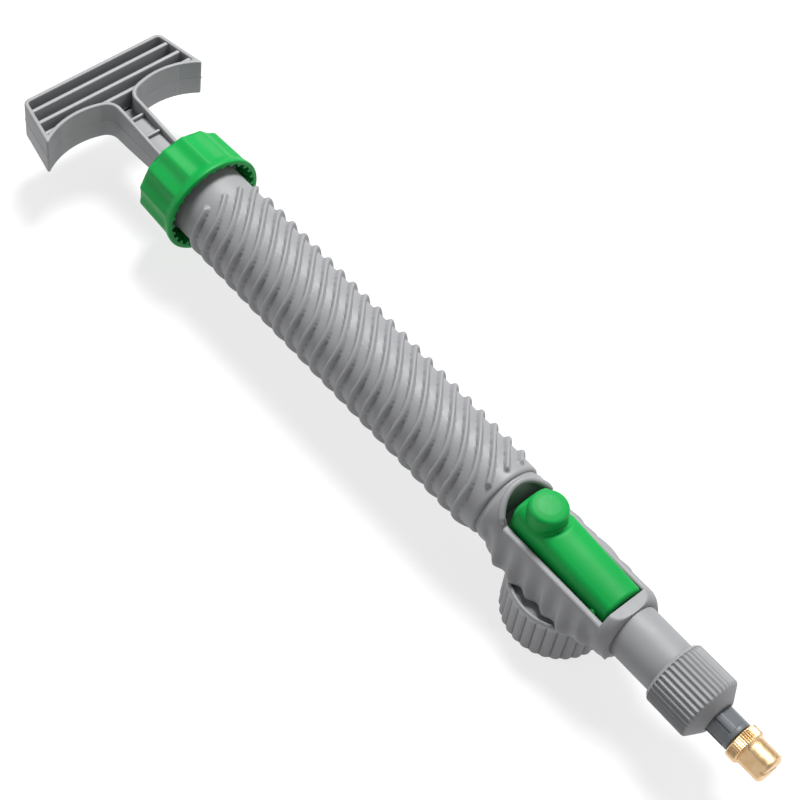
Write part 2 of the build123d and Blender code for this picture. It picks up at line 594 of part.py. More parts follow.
def nozzle_tip():
    """Brass tip that turns on the stem to change the spray."""
    front = TIP_REAR + TIP_LENGTH
    end_x = front - TIP_FRONT_WALL
    knurl_front = TIP_REAR + KNURL_LENGTH
    seal_x = TIP_REAR + KNURL_LENGTH / 2
    half = TIP_SEAL_SECTION / 2 + SEAL_RUN
    bore_r = STEM_NOSE_R + RUN
    groove_r = STEM_NOSE_R + TIP_SEAL_SECTION + 2 * SEAL_RUN
    body = turned((TIP_REAR, bore_r), (TIP_REAR, KNURL_R - 0.3), (TIP_REAR + 0.3, KNURL_R),
                  (knurl_front - 0.5, KNURL_R), (knurl_front, TIP_R), (front - 0.6, TIP_R),
                  (front, TIP_R - 0.6),
                  (front, ORIFICE_R), (end_x, ORIFICE_R), (end_x, bore_r), (seal_x + half, bore_r),
                  (seal_x + half, groove_r), (seal_x - half, groove_r), (seal_x - half, bore_r))
    slot = Pos(front, 0, AXIS_Z) * Box(2 * TIP_SLOT, 4 * TIP_R, TIP_SLOT)
    return body - slot


PARTS = {
    "pump_handle": pump_handle,
    "piston_ring": piston_ring,
    "barrel_cap": barrel_cap,
    "barrel_housing": barrel_housing,
    "lever": lever,
    "valve_plunger": valve_plunger,
    "valve_seal": valve_seal,
    "valve_spring": valve_spring,
    "gland_ring": gland_ring,
    "plunger_gland": plunger_gland,
    "neck_insert": neck_insert,
    "air_check_disc": air_check_disc,
    "bottle_gasket": bottle_gasket,
    "bottle_ring": bottle_ring,
    "outlet_tube": outlet_tube,
    "plug_ring": plug_ring,
    "nozzle_nut": nozzle_nut,
    "nozzle_washer": nozzle_washer,
    "nozzle_stem": nozzle_stem,
    "swirl_core": swirl_core,
    "tip_seal": tip_seal,
    "nozzle_tip": nozzle_tip,
}

os.makedirs("parts", exist_ok=True)
for node, make in PARTS.items():
    export_step(make(), f"parts/{node}.step")
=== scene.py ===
"""Looks of the hand-pumped bottle spray wand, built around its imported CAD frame.

Frame: origin at the centre of the bottle ring's open rim, +Z up along the bottle's axis, +X along the
barrel towards the nozzle. Sizes here are in millimetres and are turned into metres where a mesh is
made. "Rise" is height over the barrel's axis. Angles round the barrel start at the top and grow
towards -Y.
"""
from __future__ import annotations

import logging
import math
from dataclasses import dataclass
from enum import Enum

import bmesh
import bpy
import numpy as np
from mathutils import Matrix, Vector

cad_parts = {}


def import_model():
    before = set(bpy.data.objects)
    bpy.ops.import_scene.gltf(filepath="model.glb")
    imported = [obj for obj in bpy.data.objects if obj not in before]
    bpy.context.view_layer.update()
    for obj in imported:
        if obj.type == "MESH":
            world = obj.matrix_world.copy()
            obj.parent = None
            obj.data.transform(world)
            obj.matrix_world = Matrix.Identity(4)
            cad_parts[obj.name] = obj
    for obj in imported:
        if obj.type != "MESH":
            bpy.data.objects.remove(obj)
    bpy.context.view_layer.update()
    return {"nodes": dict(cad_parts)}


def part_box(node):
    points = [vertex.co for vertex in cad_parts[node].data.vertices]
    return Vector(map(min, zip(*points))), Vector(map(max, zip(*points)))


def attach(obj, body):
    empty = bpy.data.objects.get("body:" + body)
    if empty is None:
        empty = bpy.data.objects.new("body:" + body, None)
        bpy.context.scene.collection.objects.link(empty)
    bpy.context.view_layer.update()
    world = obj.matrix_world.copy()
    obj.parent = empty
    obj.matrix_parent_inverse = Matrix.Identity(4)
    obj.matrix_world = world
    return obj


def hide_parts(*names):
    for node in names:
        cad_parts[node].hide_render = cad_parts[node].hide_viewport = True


LOG = logging.getLogger("spray_wand")
MM = 0.001
WELD = 1e-7
SAME_POINT = 1e-6
TINY = 1e-9
SMALL_ANGLE = 1e-6
CORNER_SHARE = 0.49
BLEED_REACH = (0.0008, 0.0022, 0.0007)
TURN = 2 * math.pi
Pairs = list[tuple[float, float]]
Triple = tuple[float, float, float]
Socket = bpy.types.NodeSocket


class Body(Enum):
    """CAD bodies that the pieces ride on."""

    BARREL = "barrel"
    HANDLE = "handle"
    LEVER = "lever"
    RING = "bottle_ring"
    TIP = "nozzle_tip"


class Slot(Enum):
    """Material slots of the record."""

    GREY = "grey_plastic"
    GREEN = "green_plastic"
    STEM = "dark_stem"
    BRASS = "brass"
    RUBBER = "seal_rubber"
    STEEL = "spring_steel"


class Axis(Enum):
    """Axis that a turned shape goes round."""

    BARREL = "barrel"
    NECK = "neck"


# ---------------------------------------------------------------- shapes


@dataclass(frozen=True)
class Span:
    """Box of one CAD node at rest, in millimetres."""

    low: np.ndarray
    high: np.ndarray

    @classmethod
    def of(cls, node: str) -> Span:
        """Reads the box of a CAD node.

        Args:
            node: name of the CAD node.

        Returns:
            Its box in millimetres.
        """
        low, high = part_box(node)
        return cls(np.array(low) / MM, np.array(high) / MM)

    @property
    def middle(self) -> np.ndarray:
        """Middle of the box."""
        return (self.low + self.high) / 2


@dataclass(frozen=True)
class Shell:
    """Closed surface: points in millimetres, with four-sided and three-sided faces."""

    points: np.ndarray
    quads: np.ndarray
    tris: np.ndarray

    def outward(self) -> Shell:
        """Turns the faces outwards. The sum of p0 . (p1 x p2) over all triangles is six times the
        enclosed volume, and it is negative when the faces point inwards.

        Returns:
            The same shell, or one with every face turned round.
        """
        halves = (self.quads[:, [0, 1, 2]], self.quads[:, [0, 2, 3]], self.tris)
        corner = self.points[np.concatenate(halves)]
        volume = np.einsum("ij,ij->", corner[:, 0], np.cross(corner[:, 1], corner[:, 2]))
        if volume >= 0:
            return self
        return Shell(self.points, self.quads[:, ::-1], self.tris[:, ::-1])


def surface(grid: np.ndarray, loop_rows: bool = False, loop_cols: bool = True,
            pole_first: bool = False, pole_last: bool = False) -> Shell:
    """Joins a grid of points into a surface: each cell between two rows and two columns is a face,
    and a pole is a fan from the middle of an end row.

    Args:
        grid: points, rows x columns x 3.
        loop_rows: the last row joins the first.
        loop_cols: the last column joins the first.
        pole_first: closes the first row with a fan.
        pole_last: closes the last row with a fan.

    Returns:
        The shell, with its faces outwards.
    """
    rows, cols = grid.shape[:2]
    index = np.arange(rows * cols).reshape(rows, cols)
    if loop_cols:
        index = np.hstack([index, index[:, :1]])
    cells = np.vstack([index, index[:1]]) if loop_rows else index
    quads = np.stack([cells[:-1, :-1], cells[1:, :-1], cells[1:, 1:], cells[:-1, 1:]], -1)
    quads = quads.reshape(-1, 4)
    points = grid.reshape(-1, 3)
    fans = [np.zeros((0, 3), int)]
    for wanted, row, flip in ((pole_first, 0, 1), (pole_last, rows - 1, -1)):
        if wanted:
            hub = np.full(index.shape[1] - 1, len(points))
            points = np.vstack([points, grid[row].mean(0)])
            fans.append(np.stack([hub, index[row, :-1], index[row, 1:]], -1)[:, ::flip])
    return Shell(points, quads, np.concatenate(fans)).outward()


def turned(along: np.ndarray, radius: np.ndarray, axis: Axis, height: float = 0.0,
           closed: bool = True) -> Shell:
    """Turns a profile about an axis: a point at distance r and angle a lies at r sin a and r cos a.

    Args:
        along: place of each profile point along the axis, one per row.
        radius: distance from the axis, rows x angles.
        axis: the barrel's axis or the neck's.
        height: z of the barrel's axis.
        closed: the profile is a closed loop. Otherwise it ends in a pole at each end.

    Returns:
        The shell.
    """
    angle = np.arange(radius.shape[1]) * TURN / radius.shape[1]
    side, up = radius * np.sin(angle), radius * np.cos(angle)
    run = np.broadcast_to(along[:, None], radius.shape)
    if axis is Axis.BARREL:
        grid = np.stack([run, -side, height + up], -1)
    else:
        grid = np.stack([up, side, run], -1)
    return surface(grid, loop_rows=closed, pole_first=not closed, pole_last=not closed)


def rounded(corners: Pairs | np.ndarray, fillet: float | list[float], steps: int = 5,
            closed: bool = True) -> np.ndarray:
    """Rounds a profile's corners. Each corner becomes an arc that touches both sides at
    r / tan(half angle) from it, drawn as a quadratic curve with middle weight sin(half angle),
    which is exactly round.

    Args:
        corners: corner points.
        fillet: radius of all corners, or one for each.
        steps: runs in each arc.
        closed: the last corner joins the first. Otherwise the ends stay sharp.

    Returns:
        Profile points, without repeats.
    """
    corner = np.asarray(corners, float)
    radius = np.array(np.broadcast_to(np.asarray(fillet, float), len(corner)))
    if not closed:
        radius[[0, -1]] = 0
    back, ahead = np.roll(corner, 1, 0) - corner, np.roll(corner, -1, 0) - corner
    back_len, ahead_len = np.linalg.norm(back, axis=1), np.linalg.norm(ahead, axis=1)
    back, ahead = back / back_len[:, None], ahead / ahead_len[:, None]
    half = np.arccos(np.clip((back * ahead).sum(1), -1, 1)) / 2
    reach = np.minimum(radius / np.tan(np.maximum(half, SMALL_ANGLE)),
                       CORNER_SHARE * np.minimum(back_len, ahead_len))
    start, end = corner + back * reach[:, None], corner + ahead * reach[:, None]
    t = np.linspace(0, 1, steps + 1)[None, :, None]
    weight = np.sin(half)[:, None, None]
    near, mid, far = (1 - t) ** 2, 2 * weight * t * (1 - t), t ** 2
    arcs = (near * start[:, None] + mid * corner[:, None] + far * end[:, None]) / (near + mid + far)
    path = arcs.reshape(-1, 2)
    keep = np.linalg.norm(path - np.roll(path, 1, 0), axis=1) > SAME_POINT
    keep[0] |= not closed
    return path[keep]


def spun(path: np.ndarray, count: int) -> tuple[np.ndarray, np.ndarray, np.ndarray]:
    """Spreads a profile round its axis, ready for its radius to be cut into.

    Args:
        path: (along, radius) points.
        count: points round the axis.

    Returns:
        The angles, the stations as a column, and the radii, profile points x angles.
    """
    return np.arange(count) * TURN / count, path[:, :1], np.repeat(path[:, 1:], count, 1)


def divided(path: np.ndarray, step: float, closed: bool = False) -> np.ndarray:
    """Divides each run of a path into equal parts no longer than a step.

    Args:
        path: points of the path.
        step: longest part.
        closed: the last point joins the first.

    Returns:
        The path with the points in between.
    """
    start = path if closed else path[:-1]
    end = np.roll(path, -1, 0) if closed else path[1:]
    parts = np.maximum(np.ceil(np.linalg.norm(end - start, axis=1) / step).astype(int), 1)
    run = np.repeat(np.arange(len(parts)), parts)
    t = (np.arange(parts.sum()) - np.repeat(np.cumsum(parts) - parts, parts)) / parts[run]
    points = start[run] + t[:, None] * (end - start)[run]
    return points if closed else np.vstack([points, path[-1:]])


def smooth(value: np.ndarray | float, low: float, high: float) -> np.ndarray:
    """Rises from 0 at low to 1 at high, level at both ends (3t^2 - 2t^3)."""
    t = np.clip((np.asarray(value, float) - low) / (high - low), 0, 1)
    return t * t * (3 - 2 * t)


def lathe(corners: Pairs, fillet: float, count: int, axis: Axis, height: float = 0.0,
          closed: bool = True) -> Shell:
    """Turns a plain profile with rounded corners.

    Args:
        corners: (along, radius) corners.
        fillet: radius of the corners.
        count: points round the axis.
        axis: axis to turn about.
        height: z of the barrel's axis.
        closed: the profile is a closed loop.

    Returns:
        The shell.
    """
    path = rounded(corners, fillet, 4, closed)
    return turned(path[:, 0], spun(path, count)[2], axis, height, closed)


def soft_block(low: Triple, high: Triple, edge: float) -> Shell:
    """Block with rounded edges: a rounded rectangle carried along X, drawn in at both ends by
    edge - sqrt(edge^2 - distance^2).

    Args:
        low: lowest corner.
        high: highest corner.
        edge: radius of the edges.

    Returns:
        The shell.
    """
    quarter = np.linspace(0, math.pi / 2, 4)
    inset = edge * (1 - np.sin(quarter))
    along = edge * (1 - np.cos(quarter))
    x = np.concatenate([low[0] + along, high[0] - along[::-1]])
    draw = np.concatenate([inset, inset[::-1]])
    corners = [(low[1], low[2]), (high[1], low[2]), (high[1], high[2]), (low[1], high[2])]
    section = rounded(corners, edge, 3)
    centre = section.mean(0)
    half = np.array([(high[1] - low[1]) / 2, (high[2] - low[2]) / 2])
    yz = centre + (section - centre)[None] * (1 - draw[:, None, None] / half)
    grid = np.concatenate([np.broadcast_to(x[:, None, None], yz.shape[:2] + (1,)), yz], -1)
    return surface(grid, pole_first=True, pole_last=True)


def swept(path: np.ndarray, across: np.ndarray, up: np.ndarray, section: np.ndarray) -> Shell:
    """Carries a closed section along a path: point = path + u across + v up.

    Args:
        path: points of the path, n x 3.
        across: direction of the section's first coordinate, n x 3.
        up: direction of its second coordinate, n x 3.
        section: (u, v) points, or one set for each path point.

    Returns:
        The shell.
    """
    uv = np.broadcast_to(section, (len(path),) + section.shape[-2:])
    grid = path[:, None] + uv[..., :1] * across[:, None] + uv[..., 1:] * up[:, None]
    return surface(grid, pole_first=True, pole_last=True)


@dataclass(frozen=True)
class Piece:
    """One visible piece: its surfaces, body, slot and the CAD nodes that it stands for."""

    name: str
    shells: tuple[Shell, ...]
    body: Body
    slot: Slot
    stands_for: tuple[str, ...] = ()
    crease: float = 40.0

    def build(self, finish: bpy.types.Material) -> None:
        """Makes the piece's object at the origin, smooth, with sharp edges past the crease angle.

        Args:
            finish: the piece's material.
        """
        points, faces, start = [], [], 0
        for shell in self.shells:
            points.append(shell.points)
            faces += (shell.quads + start).tolist() + (shell.tris + start).tolist()
            start += len(shell.points)
        mesh = bpy.data.meshes.new(self.name)
        mesh.from_pydata((np.concatenate(points) * MM).tolist(), [], faces)
        solid = bmesh.new()
        solid.from_mesh(mesh)
        bmesh.ops.remove_doubles(solid, verts=solid.verts, dist=WELD)
        solid.to_mesh(mesh)
        solid.free()
        mesh.polygons.foreach_set("use_smooth", np.ones(len(mesh.polygons), bool))
        mesh.set_sharp_from_angle(angle=math.radians(self.crease))
        mesh.materials.append(finish)
        thing = bpy.data.objects.new(self.name, mesh)
        bpy.context.scene.collection.objects.link(thing)
        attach(thing, self.body.value)
        if self.stands_for:
            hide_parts(*self.stands_for)
        LOG.info("%s: %d points, %d faces, on %s", self.name, start, len(faces), self.body.value)


# ---------------------------------------------------------------- finishes


class Nodes:
    """Short way to place and join shader nodes in one material."""

    def __init__(self, name: str) -> None:
        """Starts a material with a surface shader and object coordinates.

        Args:
            name: name of the material.
        """
        self.material = bpy.data.materials.new(name)
        self.material.use_nodes = True
        self.tree = self.material.node_tree
        self.tree.nodes.clear()
        output = self.tree.nodes.new("ShaderNodeOutputMaterial")
        self.shader = self.tree.nodes.new("ShaderNodeBsdfPrincipled")
        self.join(self.shader.outputs["BSDF"], output.inputs["Surface"])
        self.place = self.tree.nodes.new("ShaderNodeTexCoord").outputs["Object"]

    def join(self, source: Socket, target: Socket) -> None:
        """Links two sockets."""
        self.tree.links.new(source, target)

    def noise(self, scale: float, detail: float = 2.0, stretch: Triple | None = None) -> Socket:
        """Adds a noise pattern on object coordinates.

        Args:
            scale: cells for each metre.
            detail: octaves.
            stretch: factors along X, Y and Z.

        Returns:
            Its value, about 0.3 to 0.7.
        """
        node = self.tree.nodes.new("ShaderNodeTexNoise")
        node.inputs["Scale"].default_value = scale
        node.inputs["Detail"].default_value = detail
        place = self.place
        if stretch:
            mapping = self.tree.nodes.new("ShaderNodeMapping")
            mapping.inputs["Scale"].default_value = stretch
            self.join(place, mapping.inputs["Vector"])
            place = mapping.outputs["Vector"]
        self.join(place, node.inputs["Vector"])
        return node.outputs["Fac"]

    def ranged(self, source: Socket, low: float, high: float, to_low: float,
               to_high: float) -> Socket:
        """Maps a value from one range to another, and holds it there.

        Args:
            source: value to map.
            low: where the first range starts.
            high: where it ends.
            to_low: result at low.
            to_high: result at high.

        Returns:
            The mapped value.
        """
        node = self.tree.nodes.new("ShaderNodeMapRange")
        self.join(source, node.inputs["Value"])
        ends = {"From Min": low, "From Max": high, "To Min": to_low, "To Max": to_high}
        for key, value in ends.items():
            node.inputs[key].default_value = value
        return node.outputs["Result"]

    def mixed(self, factor: Socket, first: Socket | Triple, second: Socket | Triple) -> Socket:
        """Mixes two colours.

        Args:
            factor: share of the second colour.
            first: colour at 0.
            second: colour at 1.

        Returns:
            The mixed colour.
        """
        node = self.tree.nodes.new("ShaderNodeMix")
        node.data_type = "RGBA"
        self.join(factor, node.inputs["Factor"])
        for socket, colour in ((node.inputs[6], first), (node.inputs[7], second)):
            if isinstance(colour, tuple):
                socket.default_value = (*colour, 1.0)
            else:
                self.join(colour, socket)
        return node.outputs[2]

    def bump(self, height: Socket, depth: float, strength: float,
             below: Socket | None = None) -> Socket:
        """Adds surface relief.

        Args:
            height: pattern of the relief.
            depth: its depth in millimetres.
            strength: how strongly it shows.
            below: relief that this one lies on.

        Returns:
            The bent normal.
        """
        node = self.tree.nodes.new("ShaderNodeBump")
        node.inputs["Strength"].default_value = strength
        node.inputs["Distance"].default_value = depth * MM
        self.join(height, node.inputs["Height"])
        if below:
            self.join(below, node.inputs["Normal"])
        return node.outputs["Normal"]

    def edges(self, low: float, high: float) -> Socket:
        """Finds edges from how sharply the surface bends.

        Args:
            low: bend that counts as none.
            high: bend that counts as full.

        Returns:
            0 on flat faces and in hollows, 1 on edges.
        """
        node = self.tree.nodes.new("ShaderNodeNewGeometry")
        return self.ranged(node.outputs["Pointiness"], low, high, 0, 1)

    def set(self, **values: float | tuple[float, ...]) -> None:
        """Sets uniform numbers on the shader's own sockets."""
        for key, value in values.items():
            self.shader.inputs[key.replace("_", " ")].default_value = value


@dataclass(frozen=True)
class MouldedPlastic:
    """Injection-moulded plastic: two close tones, flow streaks, fine grain and a painted highlight on
    sharp edges.
    """

    name: str
    tone: Triple
    deep_tone: Triple
    painted_edge_highlight: Triple
    smoothest: float
    roughest: float
    grain_depth: float
    level: float = 0.5
    bleed: float = 0.0

    def make(self) -> bpy.types.Material:
        """Builds the material.

        Returns:
            The plastic.
        """
        n = Nodes(self.name)
        cloud = n.ranged(n.noise(38, 3), 0.35, 0.65, 0, 1)
        streak = n.ranged(n.noise(420, 2, (0.12, 1, 1)), 0.38, 0.62, 0, 0.35)
        tone = n.mixed(cloud, self.tone, self.deep_tone)
        tone = n.mixed(streak, tone, self.deep_tone)
        # Lighter tone on sharp edges, found from pointiness: a painted highlight where edges catch the
        # light.
        tone = n.mixed(n.edges(0.54, 0.66), tone, self.painted_edge_highlight)
        n.join(tone, n.shader.inputs["Base Color"])
        smear = n.ranged(n.noise(160, 4), 0.35, 0.65, self.smoothest, self.roughest)
        n.join(smear, n.shader.inputs["Roughness"])
        waves = n.bump(n.noise(120, 1), 0.03, 0.15)
        grain = n.bump(n.noise(3600, 2), self.grain_depth, 0.4, waves)
        n.join(grain, n.shader.inputs["Normal"])
        n.set(Specular_IOR_Level=self.level, IOR=1.5)
        if self.bleed:
            n.set(Subsurface_Weight=self.bleed, Subsurface_Radius=BLEED_REACH, Subsurface_Scale=1.0)
        return n.material


@dataclass(frozen=True)
class TurnedMetal:
    """Turned metal: fine tool lines round the axis, cloudy tarnish and a painted highlight on sharp edges.
    """

    name: str
    tone: Triple
    tarnish: Triple
    painted_edge_glint: Triple
    smoothest: float
    roughest: float
    line_depth: float

    def make(self) -> bpy.types.Material:
        """Builds the material.

        Returns:
            The metal.
        """
        n = Nodes(self.name)
        cloud = n.ranged(n.noise(330, 4), 0.4, 0.68, 0, 1)
        tone = n.mixed(cloud, self.tone, self.tarnish)
        # Paler tone on sharp edges, found from pointiness: a painted highlight.
        tone = n.mixed(n.edges(0.52, 0.6), tone, self.painted_edge_glint)
        n.join(tone, n.shader.inputs["Base Color"])
        n.join(n.ranged(n.noise(900, 3), 0.35, 0.65, self.smoothest, self.roughest),
               n.shader.inputs["Roughness"])
        lines = n.noise(1.0, 3, (9000, 220, 220))
        n.join(n.bump(lines, self.line_depth, 0.4), n.shader.inputs["Normal"])
        n.set(Metallic=1.0)
        return n.material


@dataclass(frozen=True)
class SealRubber:
    """Black seal rubber: matt, faintly cloudy, with a fine skin."""

    name: str
    tone: Triple
    bloom: Triple

    def make(self) -> bpy.types.Material:
        """Builds the material.

        Returns:
            The rubber.
        """
        n = Nodes(self.name)
        cloud = n.ranged(n.noise(260, 4), 0.38, 0.7, 0, 1)
        n.join(n.mixed(cloud, self.tone, self.bloom), n.shader.inputs["Base Color"])
        n.join(n.ranged(n.noise(700, 2), 0.3, 0.7, 0.55, 0.78), n.shader.inputs["Roughness"])
        n.join(n.bump(n.noise(5200, 2), 0.02, 0.5), n.shader.inputs["Normal"])
        n.set(Specular_IOR_Level=0.35)
        return n.material


@dataclass(frozen=True)
class StudioFloor:
    """Pale painted floor with faint mottling and a faint glow that softens shadows."""

    name: str
    tone: Triple
    shade: Triple
    glow: float = 0.74

    def make(self) -> bpy.types.Material:
        """Builds the material.

        Returns:
            The floor paint.
        """
        n = Nodes(self.name)
        n.join(n.mixed(n.ranged(n.noise(3, 3), 0.3, 0.7, 0, 1), self.tone, self.shade),
               n.shader.inputs["Base Color"])
        n.join(n.ranged(n.noise(25, 2), 0.3, 0.7, 0.85, 0.95), n.shader.inputs["Roughness"])
        n.set(Specular_IOR_Level=0.1, Emission_Color=(1.0, 1.0, 1.0, 1.0),
              Emission_Strength=self.glow)
        return n.material


# The third colour of each plastic and metal finish is a lighter tone laid on sharp edges: a painted
# highlight.
FINISHES = {
    Slot.GREY: MouldedPlastic("satin_grey", (0.225, 0.228, 0.236), (0.212, 0.214, 0.222),
                              (0.27, 0.272, 0.28), 0.50, 0.58, 0.008, 0.4),
    Slot.GREEN: MouldedPlastic("fresh_green", (0.0, 0.27, 0.045), (0.0, 0.235, 0.04),
                               (0.0, 0.31, 0.06), 0.46, 0.54, 0.006, 0.2, 0.05),
    Slot.STEM: MouldedPlastic("stem_grey", (0.11, 0.12, 0.13), (0.09, 0.1, 0.11), (0.14, 0.15, 0.16),
                              0.36, 0.44, 0.004),
    Slot.BRASS: TurnedMetal("turned_brass", (0.86, 0.62, 0.36), (0.78, 0.52, 0.27),
                            (0.97, 0.82, 0.58), 0.34, 0.44, 0.003),
    Slot.RUBBER: SealRubber("seal_black", (0.016, 0.016, 0.017), (0.032, 0.032, 0.034)),
    Slot.STEEL: TurnedMetal("spring_wire", (0.56, 0.57, 0.58), (0.42, 0.42, 0.43), (0.75, 0.75, 0.76),
                            0.2, 0.34, 0.01),
}


# ---------------------------------------------------------------- sub-assemblies


@dataclass(frozen=True)
class Barrel:
    """Pump barrel: smooth cap end, wavy grip ribs, open bore."""

    axis_z: float
    rear: float
    bore_r: float = 10.6
    bore_end: float = -30.0
    root_r: float = 12.65
    crest: float = 1.45
    thread_r: float = 14.2
    thread_length: float = 8.0
    front: float = -27.0
    shoulder: float = 1.1
    rib_rear: float = -156.0
    rib_front: float = -29.3
    rib_end: float = 0.8
    rib_back: float = 1.0
    rib_pitch: float = 5.8
    rib_starts: int = 6
    rib_first: float = -140.65
    rib_sway: float = 3.7
    rib_lag: float = math.radians(8)
    rib_share: float = 0.2
    count: int = 216
    step: float = 0.42
    fine_from: float = -159.0
    coarse_every: int = 12

    def rib_height(self, x: np.ndarray, angle: np.ndarray) -> np.ndarray:
        """Height of the ribs. A crest runs at x = first + lead * angle + sway * sin(2 (angle + lag)),
        and the height falls off as (1 - distance^2.6)^0.8 to both sides, a round-topped bar. Its ends
        are cut square, at the station of the nearest point of the crest.

        Args:
            x: stations.
            angle: angles from the top towards -Y.

        Returns:
            Height over the root, 0 to the crest's height.
        """
        lead = self.rib_pitch * self.rib_starts / TURN
        path = lead * angle + self.rib_sway * np.sin(2 * (angle + self.rib_lag))
        phase = (x - self.rib_first - path) / self.rib_pitch
        away = np.abs(phase - np.round(phase))
        lobe = (1 - np.clip(away / self.rib_share, 0, 1) ** 2.6) ** 0.8
        back = self.rib_back * smooth(angle, math.radians(20), math.radians(40)) * (
            1 - smooth(angle, math.radians(120), math.radians(170)))
        slope = (lead + 2 * self.rib_sway * np.cos(2 * (angle + self.rib_lag))) / self.root_r
        foot = x - (phase - np.round(phase)) * self.rib_pitch / (1 + slope ** 2)
        starts = smooth(foot + back, self.rib_rear, self.rib_rear + self.rib_end)
        ends = 1 - smooth(foot, self.rib_front - self.rib_end, self.rib_front)
        return self.crest * lobe * starts * ends

    def shell(self) -> Shell:
        """Turned barrel with its ribs, from the bore's end round the open rear to the front.

        Returns:
            The shell.
        """
        thread_front = self.rear + self.thread_length
        corners = [(self.bore_end, 0), (self.bore_end, self.bore_r), (self.rear, self.bore_r),
                   (self.rear, self.thread_r), (thread_front, self.thread_r),
                   (thread_front, self.root_r), (self.front, self.root_r), (self.front, 0)]
        fillets = [0, 0.4, 0.5, 0.5, 0.5, 0.6, self.shoulder, 0]
        path = divided(rounded(corners, fillets, 4, closed=False), self.step)
        plain = (path[:, 1] < self.root_r - 0.4) | (path[:, 0] < self.fine_from)
        coarse = np.arange(len(path)) % self.coarse_every == 0
        bends = np.abs(np.diff(path[:, 1])) > 1e-4
        corner = np.append(True, bends) | np.append(bends, True)
        path = path[~plain | coarse | corner]
        angle = np.arange(self.count) * TURN / self.count
        wrapped = np.where(angle > math.pi, angle - TURN, angle)
        outer = (path[:, 1] > self.root_r - 0.2)[:, None]
        ribs = self.rib_height(path[:, :1], wrapped[None, :])
        radius = path[:, 1:] + ribs * outer
        return turned(path[:, 0], radius, Axis.BARREL, self.axis_z, closed=False)

    def piece(self) -> Piece:
        """The ribbed barrel as a piece."""
        return Piece("barrel_grip", (self.shell(),), Body.BARREL, Slot.GREY, crease=50)


ROUND_TABLE = ((-30, 11.6), (-26.5, 11.6), (-26.1, 11.7), (-25.6, 12.05), (-25, 12.2), (-23.5, 12.15),
               (-22, 12.0), (-20, 11.8), (-18, 11.65), (-15, 11.5), (15, 11.4), (22, 11.5))
SKIRT_TABLE = ((-23.5, 9.9), (-21.7, 11.6), (-19.5, 13.6), (-16, 14.6), (-10, 15.0), (-3, 14.6), (4, 14.5),
               (11, 14.9), (14.1, 14.4), (16.7, 13.0), (18.5, 11.6), (20.5, 10.6), (22.5, 9.9))


